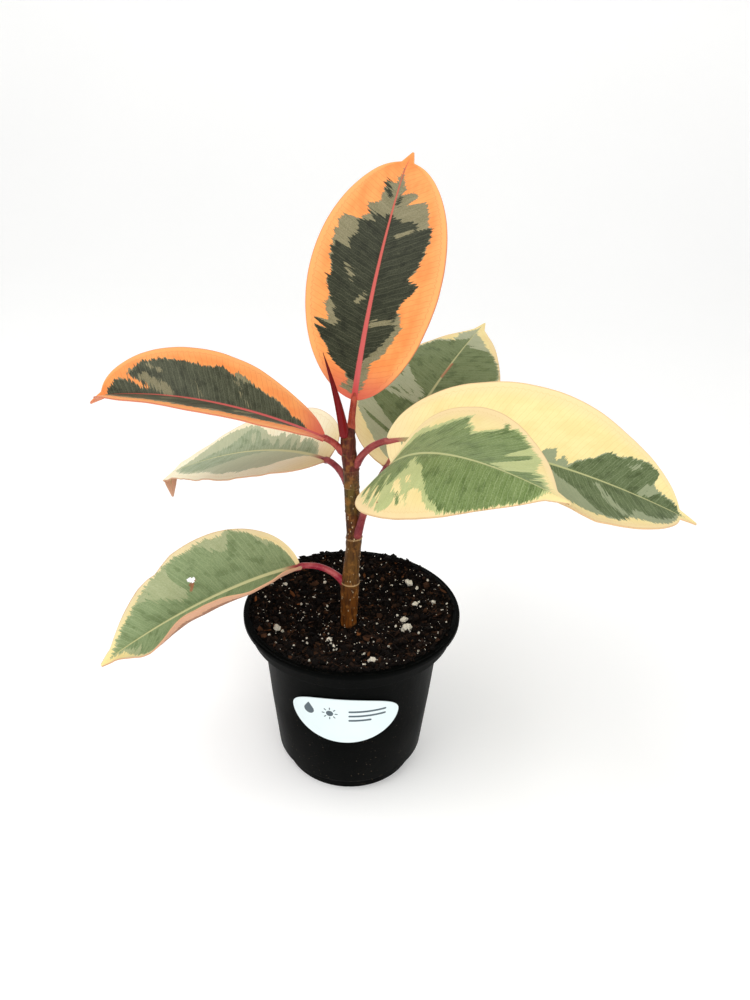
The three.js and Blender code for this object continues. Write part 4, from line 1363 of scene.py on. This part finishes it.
def buildLeaf(name):
    # a bent sheet with its two finishes, thickened, with a ridge under the midrib
    leaf = leaves[name]
    piece = addSheet("leafBlade_" + name, leafShape["along"], leafShape["across"])
    flat = readPlaces(piece)
    even = flat[:, 0] + 0.5
    share = np.clip(even - 0.55 * np.sin(2 * math.pi * even) / (2 * math.pi), 0, 1)
    spreadOut = -2 * flat[:, 1]
    out = np.sign(spreadOut) * np.abs(spreadOut) ** 1.15
    rows, which = np.unique(np.round(share, 9), return_inverse=True)
    middle, side, up = (values[which] for values in bladeRows(leaf, rows))
    wide = halfWidth(leaf, share, out)
    right = out >= 0
    left, rightHalf = np.radians(leaf["left"]), np.radians(leaf["right"])
    fold, tipFold, curl, bulge = (np.where(right, rightHalf[i], left[i]) for i in range(4))
    fold = fold + (tipFold - fold) * share
    fromMiddle = (share - leafShape["bulgeMiddle"]) / leafShape["bulgeSpread"]
    curl = curl + bulge * np.exp(-(fromMiddle ** 2))
    curl = np.where(np.abs(curl) < 1e-3, 1e-3, curl)
    reach = np.abs(out)
    sign = np.where(right, 1.0, -1.0)
    away = wide * (np.sin(fold + curl * reach) - np.sin(fold)) / curl
    lift = wide * (np.cos(fold) - np.cos(fold + curl * reach)) / curl
    slope = fold + curl * reach
    normal = up * np.cos(slope)[:, None] - side * (sign * np.sin(slope))[:, None]
    places = middle + side * (sign * away)[:, None] + up * lift[:, None]

    origin, offRib, green, core, scar, stain = leafZones(name, share, out, wide)
    # relief: a grooved midrib with a bead in it, low side veins and an uneven margin
    ribHalf = ribHalfWidth(name, share)
    fade = np.clip((1 - share) * 5, 0, 1)
    relief = -leafShape["ribGroove"] * np.exp(-(offRib / (ribHalf * 1.35)) ** 2) * fade
    relief += leafShape["ribBead"] * np.exp(-(offRib / (ribHalf * 0.6)) ** 2) * fade * (1.1 - share)
    veins = np.cos(2 * math.pi * origin / leafShape["veinSpacing"])
    inner = np.clip((offRib - ribHalf) / 3, 0, 1) * np.clip((1 - reach) * 6, 0, 1)
    relief += leafShape["veinDepth"] * veins * inner
    seed = 3.7 * list(leaves).index(name)
    waves = np.array([noise.noise((s * leaf["length"] / 17, seed, 5.0 if o > 0 else 0.0))
                      for s, o in zip(share, out)])
    small = np.array([noise.noise((s * leaf["length"] / 6.5, seed + o * w / 9, 9.0))
                      for s, o, w in zip(share, out, wide)])
    relief += leaf["ripple"] * (waves * 1.7 * reach ** 2.5 + small * 0.35 * reach) * fade
    places = places + normal * relief[:, None]

    writeAttribute(piece, "vein", np.stack([origin, offRib * np.sign(out), share], -1))
    writeAttribute(piece, "zone", np.stack([core, green, reach], -1))
    writeAttribute(piece, "mark", np.stack([scar, stain, offRib - ribHalf], -1))
    writeAttribute(piece, "faceUp", normal)
    writePlaces(piece, places * mm)
    if "tear" in leaf:
        cutTear(piece, leaf["tear"])
    piece.data.materials.append(leafSkin(name, False))
    piece.data.materials.append(leafSkin(name, True))
    applyModifier(piece, "SOLIDIFY", thickness=leafShape["thickness"] * mm, offset=-1,
                  use_rim=True, material_offset=1, material_offset_rim=1)
    # midrib ridge below
    places = readPlaces(piece) / mm
    half = len(places) // 2
    vein = readAttribute(piece, "vein")[half:]
    normal = readAttribute(piece, "faceUp")[half:]
    ribHalf = ribHalfWidth(name, vein[:, 2])
    depth = (0.25 + 1.35 * (1 - vein[:, 2]) ** 1.2) * np.exp(-(vein[:, 1] / ribHalf) ** 2)
    places[half:] -= normal * depth[:, None]
    writePlaces(piece, places * mm)
    piece.data.attributes.remove(piece.data.attributes["faceUp"])
    smoothShade(piece, 50)
    return piece


def cutTear(piece, tear):
    # removes the faces inside a small ragged oval, so that the hole goes right through
    shareAt, outAt, long, tall = tear
    vein = readAttribute(piece, "vein")
    zone = readAttribute(piece, "zone")
    sign = np.sign(vein[:, 1])
    out = zone[:, 2] * sign
    makeActive(piece)
    bpy.ops.object.mode_set(mode="EDIT")
    bpy.ops.mesh.select_mode(type="FACE")
    bpy.ops.mesh.select_all(action="DESELECT")
    bpy.ops.object.mode_set(mode="OBJECT")
    for face in piece.data.polygons:
        corners = list(face.vertices)
        x = (np.mean(vein[corners, 2]) - shareAt) / long
        y = (np.mean(out[corners]) - outAt) / tall
        y -= 0.35 * x
        face.select = x * x + y * y < 1 + 0.3 * noise.noise((x * 3, y * 3, 2.0))
    bpy.ops.object.mode_set(mode="EDIT")
    bpy.ops.mesh.delete(type="FACE")
    bpy.ops.object.mode_set(mode="OBJECT")


# the finishes of the leaves
ruby = dict(
    margin=paint(240, 142, 76), marginTwo=paint(244, 158, 88), edge=paint(246, 170, 102),
    base=paint(214, 104, 82), grey=paint(118, 112, 82), greyTwo=paint(142, 134, 104),
    core=paint(38, 41, 27), coreTwo=paint(56, 58, 42), line=paint(96, 97, 76),
    rib=paint(203, 92, 92), ribTip=paint(192, 92, 74), ribBase=paint(196, 76, 74),
    rim=paint(200, 104, 76), rimStrength=0.6, marginLine=paint(206, 108, 66),
    lineStrength=0.5, under=paint(222, 150, 118), underCore=paint(128, 118, 88), ribScale=1.0,
    jag=1.0)
cream = dict(
    margin=paint(243, 224, 160), marginTwo=paint(238, 216, 150), edge=paint(242, 216, 162),
    base=paint(242, 222, 168), grey=paint(176, 182, 142), greyTwo=paint(156, 164, 122),
    core=paint(104, 124, 78), coreTwo=paint(126, 146, 98), line=paint(168, 180, 138),
    rib=paint(214, 212, 160), ribTip=paint(196, 194, 140), ribBase=paint(172, 92, 84),
    rim=paint(206, 160, 118), rimStrength=0.55, marginLine=paint(222, 190, 124),
    lineStrength=0.4, under=paint(226, 196, 150), underCore=paint(150, 160, 118), ribScale=0.8,
    jag=1.0)

skins = {
    "top": dict(ruby),
    "upper_left": dict(ruby, core=paint(60, 63, 46), coreTwo=paint(84, 86, 66),
                       line=paint(116, 116, 94)),
    # the left leaf's margin, its second margin tone and its edge are painted paler than its own
    # cream: painted light that makes up for the shade its near half lies in
    "left": dict(cream, margin=paint(254, 246, 214), marginTwo=paint(252, 241, 206),
                 edge=paint(250, 238, 204), core=paint(148, 162, 126),
                 coreTwo=paint(168, 178, 144),
                 grey=paint(180, 186, 150), greyTwo=paint(196, 198, 162),
                 line=paint(196, 202, 168), under=paint(206, 148, 122),
                 underCore=paint(184, 122, 98)),
    "lowest": dict(cream, core=paint(124, 142, 98), coreTwo=paint(144, 160, 118),
                   edge=paint(232, 214, 168), under=paint(206, 146, 122),
                   underCore=paint(158, 96, 78)),
    "back": dict(cream, core=paint(102, 116, 72), coreTwo=paint(126, 136, 94),
                 grey=paint(164, 168, 134), greyTwo=paint(178, 180, 146),
                 rib=paint(178, 172, 124), line=paint(138, 150, 108)),
    "right": dict(cream, core=paint(84, 98, 60), coreTwo=paint(108, 122, 84),
                  grey=paint(140, 150, 116), greyTwo=paint(154, 160, 126),
                  rib=paint(156, 164, 110), line=paint(140, 152, 116)),
    "front": dict(cream, core=paint(98, 120, 62), coreTwo=paint(132, 150, 92),
                  grey=paint(194, 200, 138), greyTwo=paint(176, 184, 122),
                  rib=paint(180, 188, 130), line=paint(164, 178, 130)),
}


def leafSkin(name, below):
    skin = skins[name]
    material, tree = startMaterial("leafUnder_" + name if below else "leafTop_" + name)
    seed = 11.0 * list(leaves).index(name)
    vein = addNode(tree, "ShaderNodeSeparateXYZ", {0: readField(tree, "vein").outputs["Vector"]})
    zone = addNode(tree, "ShaderNodeSeparateXYZ", {0: readField(tree, "zone").outputs["Vector"]})
    mark = addNode(tree, "ShaderNodeSeparateXYZ", {0: readField(tree, "mark").outputs["Vector"]})
    origin, away, share = vein.outputs
    core, green, reach = zone.outputs
    scar, stain, offRib = mark.outputs

    def leafGrain(alongScale, outScale, detail=2.0, shift=0.0, roughness=0.6):
        place = addNode(tree, "ShaderNodeCombineXYZ", {
            0: maths(tree, "MULTIPLY", origin, alongScale),
            1: maths(tree, "MULTIPLY", away, outScale), 2: seed + shift}).outputs[0]
        return grain(tree, place, 1.0, detail, roughness)

    def swing(value, size):
        return maths(tree, "MULTIPLY", maths(tree, "SUBTRACT", value, 0.5), size)

    # ragged edges: long teeth that follow the side veins, with finer ones on them
    teeth = swing(leafGrain(0.75, 0.06), 5.0 * skin["jag"])
    fineTeeth = swing(leafGrain(2.4, 0.16, 3.0, 4.0), 4.2 * skin["jag"])
    ragged = maths(tree, "ADD", teeth, fineTeeth)
    otherTeeth = swing(leafGrain(1.1, 0.08, 3.0, 8.0), 5.5 * skin["jag"])
    inGreen = band(tree, maths(tree, "ADD", green, ragged), -0.1, 0.1)
    inCore = band(tree, maths(tree, "ADD", core, maths(tree, "ADD", ragged, otherTeeth)),
                  -0.12, 0.12)

    # side veins: thin lines from the midrib, with a fainter one between each two
    wobble = maths(tree, "MULTIPLY", leafGrain(0.15, 0.25, 2.0, 1.0), 0.7)
    turns = maths(tree, "ADD", maths(tree, "DIVIDE", origin, leafShape["veinSpacing"]), wobble)
    saw = maths(tree, "ABSOLUTE", maths(tree, "SUBTRACT", maths(tree, "FRACT", turns), 0.5))
    sideVein = band(tree, saw, 0.435, 0.49)
    between = maths(tree, "MULTIPLY", band(tree, saw, 0.05, 0.0),
                    band(tree, leafGrain(1.5, 0.3, 2.0, 2.5), 0.4, 0.6))
    lines = maths(tree, "MAXIMUM", sideVein, maths(tree, "MULTIPLY", between, 0.45))
    # the vein that loops along inside the margin, a few millimetres from it
    inside = maths(tree, "MULTIPLY", maths(tree, "ABSOLUTE", away), maths(
        tree, "SUBTRACT", maths(tree, "DIVIDE", 1.0, maths(tree, "MAXIMUM", reach, 0.03)), 1.0))
    loop = maths(tree, "MULTIPLY_ADD", saw, -1.6, 3.1)
    loop = maths(tree, "ABSOLUTE", maths(tree, "SUBTRACT", inside, loop))
    loopVein = band(tree, loop, 0.2, 0.05)
    beyond = band(tree, inside, 2.3, 3.0)
    marginLines = maths(tree, "MAXIMUM", maths(tree, "MULTIPLY", lines, beyond), loopVein)

    # margin: warmer by the base, paler at the edge
    cloud = leafGrain(0.09, 0.12, 3.0, 2.0)
    margin = mixed(tree, band(tree, cloud, 0.35, 0.65), skin["margin"], skin["marginTwo"])
    margin = mixed(tree, band(tree, reach, 0.72, 0.98), margin, skin["edge"])
    margin = mixed(tree, band(tree, share, 0.16, 0.0), margin, skin["base"])
    margin = mixed(tree, maths(tree, "MULTIPLY", marginLines, skin["lineStrength"]), margin,
                   skin["marginLine"])

    # green tones: streaks along the veins and fine mottling
    streak = leafGrain(1.3, 0.07, 4.0, 6.0, 0.7)
    mottle = leafGrain(1.6, 1.6, 4.0, 3.0, 0.7)
    patchy = leafGrain(0.22, 0.16, 3.0, 12.0)
    mottled = maths(tree, "MULTIPLY_ADD", mottle, 0.5, maths(tree, "MULTIPLY", streak, 0.3))
    mottled = maths(tree, "MULTIPLY_ADD", patchy, 0.2, mottled)
    net = addNode(tree, "ShaderNodeTexVoronoi", {
        "Vector": addNode(tree, "ShaderNodeCombineXYZ", {0: origin, 1: away, 2: seed}).outputs[0],
        "Scale": 1.1}, feature="DISTANCE_TO_EDGE")
    netLine = band(tree, net.outputs["Distance"], 0.12, 0.02)
    netLine = maths(tree, "MULTIPLY", netLine, band(tree, streak, 0.4, 0.6))
    greyTone = mixed(tree, band(tree, mottled, 0.40, 0.60), skin["grey"], skin["greyTwo"])
    coreTone = mixed(tree, band(tree, mottled, 0.42, 0.64), skin["core"], skin["coreTwo"])
    coreTone = mixed(tree, maths(tree, "MULTIPLY", netLine, 0.3), coreTone, skin["line"])
    coreTone = mixed(tree, maths(tree, "MULTIPLY", lines, 0.6), coreTone, skin["line"])
    greyTone = mixed(tree, maths(tree, "MULTIPLY", lines, 0.4), greyTone, skin["line"])
    speckle = leafGrain(3.6, 3.6, 2.0, 3.0)
    coreTone = mixed(tree, band(tree, speckle, 0.56, 0.72, 0.0, 0.5), coreTone, skin["line"])
    darker = band(tree, patchy, 0.5, 0.34, 0.0, 0.3)
    coreTone = mixed(tree, darker, coreTone, skin["core"], "MULTIPLY")

    colour = mixed(tree, inGreen, margin, greyTone)
    colour = mixed(tree, inCore, colour, coreTone)
    if below:
        dull = mixed(tree, inGreen, skin["under"], skin["underCore"])
        colour = mixed(tree, 0.82, colour, dull)
        colour = mixed(tree, maths(tree, "MULTIPLY", lines, 0.3), colour, skin["rib"])
    ribTone = mixed(tree, share, skin["rib"], skin["ribTip"])
    ribTone = mixed(tree, band(tree, share, 0.10, 0.02), ribTone, skin["ribBase"])
    onRib = band(tree, maths(tree, "ADD", offRib, maths(tree, "MULTIPLY", fineTeeth, 0.12)),
                 0.25, -0.25)
    onRib = maths(tree, "MULTIPLY", onRib, band(tree, share, 0.985, 0.9, 0.0, 1.0))
    colour = mixed(tree, onRib, colour, ribTone)
    ragEdge = maths(tree, "MULTIPLY_ADD", fineTeeth, 0.003, reach)
    colour = mixed(tree, band(tree, ragEdge, 0.980, 0.996, 0.0, skin["rimStrength"]), colour,
                   skin["rim"])
    colour = mixed(tree, band(tree, stain, -0.3, 0.4, 0.0, 0.7), colour, paint(176, 92, 66))
    colour = mixed(tree, band(tree, scar, -0.2, 0.2, 0.0, 0.85), colour, paint(150, 96, 66))

    rough = maths(tree, "MULTIPLY_ADD", leafGrain(0.5, 0.5, 3.0, 5.0), 0.16,
                  0.56 if below else 0.38)
    height = maths(tree, "ADD", maths(tree, "MULTIPLY", sideVein, -0.5),
                   maths(tree, "MULTIPLY", speckle, 0.5))
    height = maths(tree, "ADD", height, maths(tree, "MULTIPLY", leafGrain(5.5, 5.5, 2.0), 0.35))
    if below:
        return endMaterial(material, tree, colour, rough, height, 0.0001,
                           Specular_IOR_Level=0.12)
    return endMaterial(material, tree, colour, rough, height, 0.00006, Coat_Weight=0.02,
                       Coat_Roughness=0.3, Specular_IOR_Level=0.13)


for name in leaves:
    blade = buildLeaf(name)
    young = name in ("top", "upper_left")
    finishPiece(blade, "young_leaf" if young else "leaf", "leaf_" + name)
    print("leaf ready", name)


# the leaf stalks: deep and pale tone of each
stalkTones = {
    "lowest": (paint(138, 30, 50), paint(176, 84, 84)),
    "front": (paint(112, 38, 46), paint(150, 72, 70)),
    "back": (paint(130, 60, 52), paint(174, 106, 86)),
    "left": (paint(126, 40, 48), paint(168, 82, 80)),
    "right": (paint(118, 38, 44), paint(162, 80, 74)),
    "upper_left": (paint(132, 36, 38), paint(176, 82, 68)),
    "top": (paint(136, 46, 34), paint(184, 84, 58)),
}


def buildStalk(name):
    # widest where it leaves the stem; its end runs on as the base of the midrib
    leaf = leaves[name]
    path = stalkPath(leaf, 30)
    path = [path[0] + (path[1] - path[0]) * 0.45] + path[1:]
    length = len(path) - 1
    radii = []
    for i in range(length + 1):
        share = i / length
        radii.append(leafShape["stalkRadius"] * (0.76 + 0.34 * (1 - share) ** 4))
    steps = leafShape["stalkRunSteps"]
    middles, _, ups = bladeRows(leaf, np.linspace(0, leafShape["stalkRun"], steps + 1))
    for step, (middle, up) in enumerate(zip(middles[1:], ups[1:]), 1):
        run = step / steps
        path.append(middle - up * (0.7 + 0.5 * run))
        radii.append(radii[length] * (1 - 0.5 * run))
    piece = addTube("leafStalk_" + name, path, radii, 28)
    places = readPlaces(piece)
    for k, p in enumerate(places):
        places[k] = p + np.array([0.00012 * noise.noise(Vector(p) * 260 + Vector((a, 0, 0)))
                                  for a in (0, 20, 40)])
    writePlaces(piece, places)
    smoothShade(piece, 80)
    return piece


def stalkSkin(name):
    deep, pale = stalkTones[name]
    material, tree = startMaterial("stalkSkin_" + name)
    place = objectPlace(tree)
    share = readField(tree, "share").outputs["Fac"]
    cloud = grain(tree, place, 190, 4, 0.6)
    shade = mixed(tree, band(tree, cloud, 0.35, 0.68), deep, pale)
    ends = band(tree, maths(tree, "ABSOLUTE", maths(tree, "SUBTRACT", share, 0.5)), 0.3, 0.5)
    shade = mixed(tree, maths(tree, "MULTIPLY", ends, 0.35), shade, pale)
    spots = band(tree, grain(tree, place, 900, 3, 0.6), 0.6, 0.75)
    shade = mixed(tree, maths(tree, "MULTIPLY", spots, 0.35), shade, paint(226, 150, 134))
    rough = maths(tree, "MULTIPLY_ADD", cloud, 0.2, 0.28)
    return endMaterial(material, tree, shade, rough, grain(tree, place, 1300, 3), 0.00008,
                       Coat_Weight=0.04, Coat_Roughness=0.3, Specular_IOR_Level=0.2)


for name in leaves:
    stalk = buildStalk(name)
    stalk.data.materials.append(stalkSkin(name))
    finishPiece(stalk, "leaf_stalk", "stalk_" + name)
print("stalks ready")


# the sheath of the next leaf, in mm
sheath = {
    "length": 38, "radius": 2.35, "seat": 1.5, "heading": 240, "spacing": 1.3,
    "leanX": -9, "leanY": -2, "rows": 60,
}


def buildSheath():
    newest = leaves["top"]
    apart = leafShape["stalkRadius"] + sheath["radius"] + sheath["spacing"]
    foot = stemCentre(newest["joint"]) + level(newest["heading"]) * leafShape["stalkRoot"]
    foot = foot + level(sheath["heading"]) * apart
    points, radii = [], []
    for i in range(sheath["rows"]):
        share = i / (sheath["rows"] - 1)
        lean = share ** 1.3
        points.append(foot + np.array([sheath["leanX"] * lean, sheath["leanY"] * lean,
                                       sheath["length"] * share * 0.995 - sheath["seat"]]))
        radii.append(sheath["radius"] * max(0.06, (1 - share) ** 0.8) * (
            1 - 0.12 * math.exp(-(share / 0.05) ** 2)))
    piece = addTube("budSheath", points, radii, 32)
    # one long overlap line up the side, as a rolled leaf has
    places = readPlaces(piece) / mm
    for k, p in enumerate(places):
        height = (p[2] - points[0][2]) / sheath["length"]
        i = int(np.clip(height, 0, 1) * (sheath["rows"] - 1))
        out = p - points[i]
        angle = math.atan2(out[1], out[0]) - 1.2 * height
        line = math.cos((angle + 2.1) / 2) ** 60
        places[k] = p - np.array([out[0], out[1], 0]) * 0.16 * line
    writePlaces(piece, places * mm)
    smoothShade(piece, 80)
    return piece


def sheathSkin():
    material, tree = startMaterial("sheathSkin")
    share = readField(tree, "share").outputs["Fac"]
    streak = grain(tree, objectPlace(tree, (1, 1, 0.08)), 1100, 3, 0.6)
    shade = ramp(tree, share, [(0.0, paint(116, 16, 22)), (0.25, paint(112, 3, 10)),
                               (0.7, paint(100, 3, 9)), (1.0, paint(78, 8, 12))])
    shade = mixed(tree, band(tree, streak, 0.45, 0.8, 0.0, 0.35), shade, paint(138, 22, 26))
    rough = maths(tree, "MULTIPLY_ADD", streak, 0.15, 0.22)
    return endMaterial(material, tree, shade, rough, streak, 0.00005, Coat_Weight=0.04,
                       Coat_Roughness=0.2, Specular_IOR_Level=0.16)


budSheath = buildSheath()
budSheath.data.materials.append(sheathSkin())
finishPiece(budSheath, "bud_sheath", "bud_sheath")
print("sheath ready")
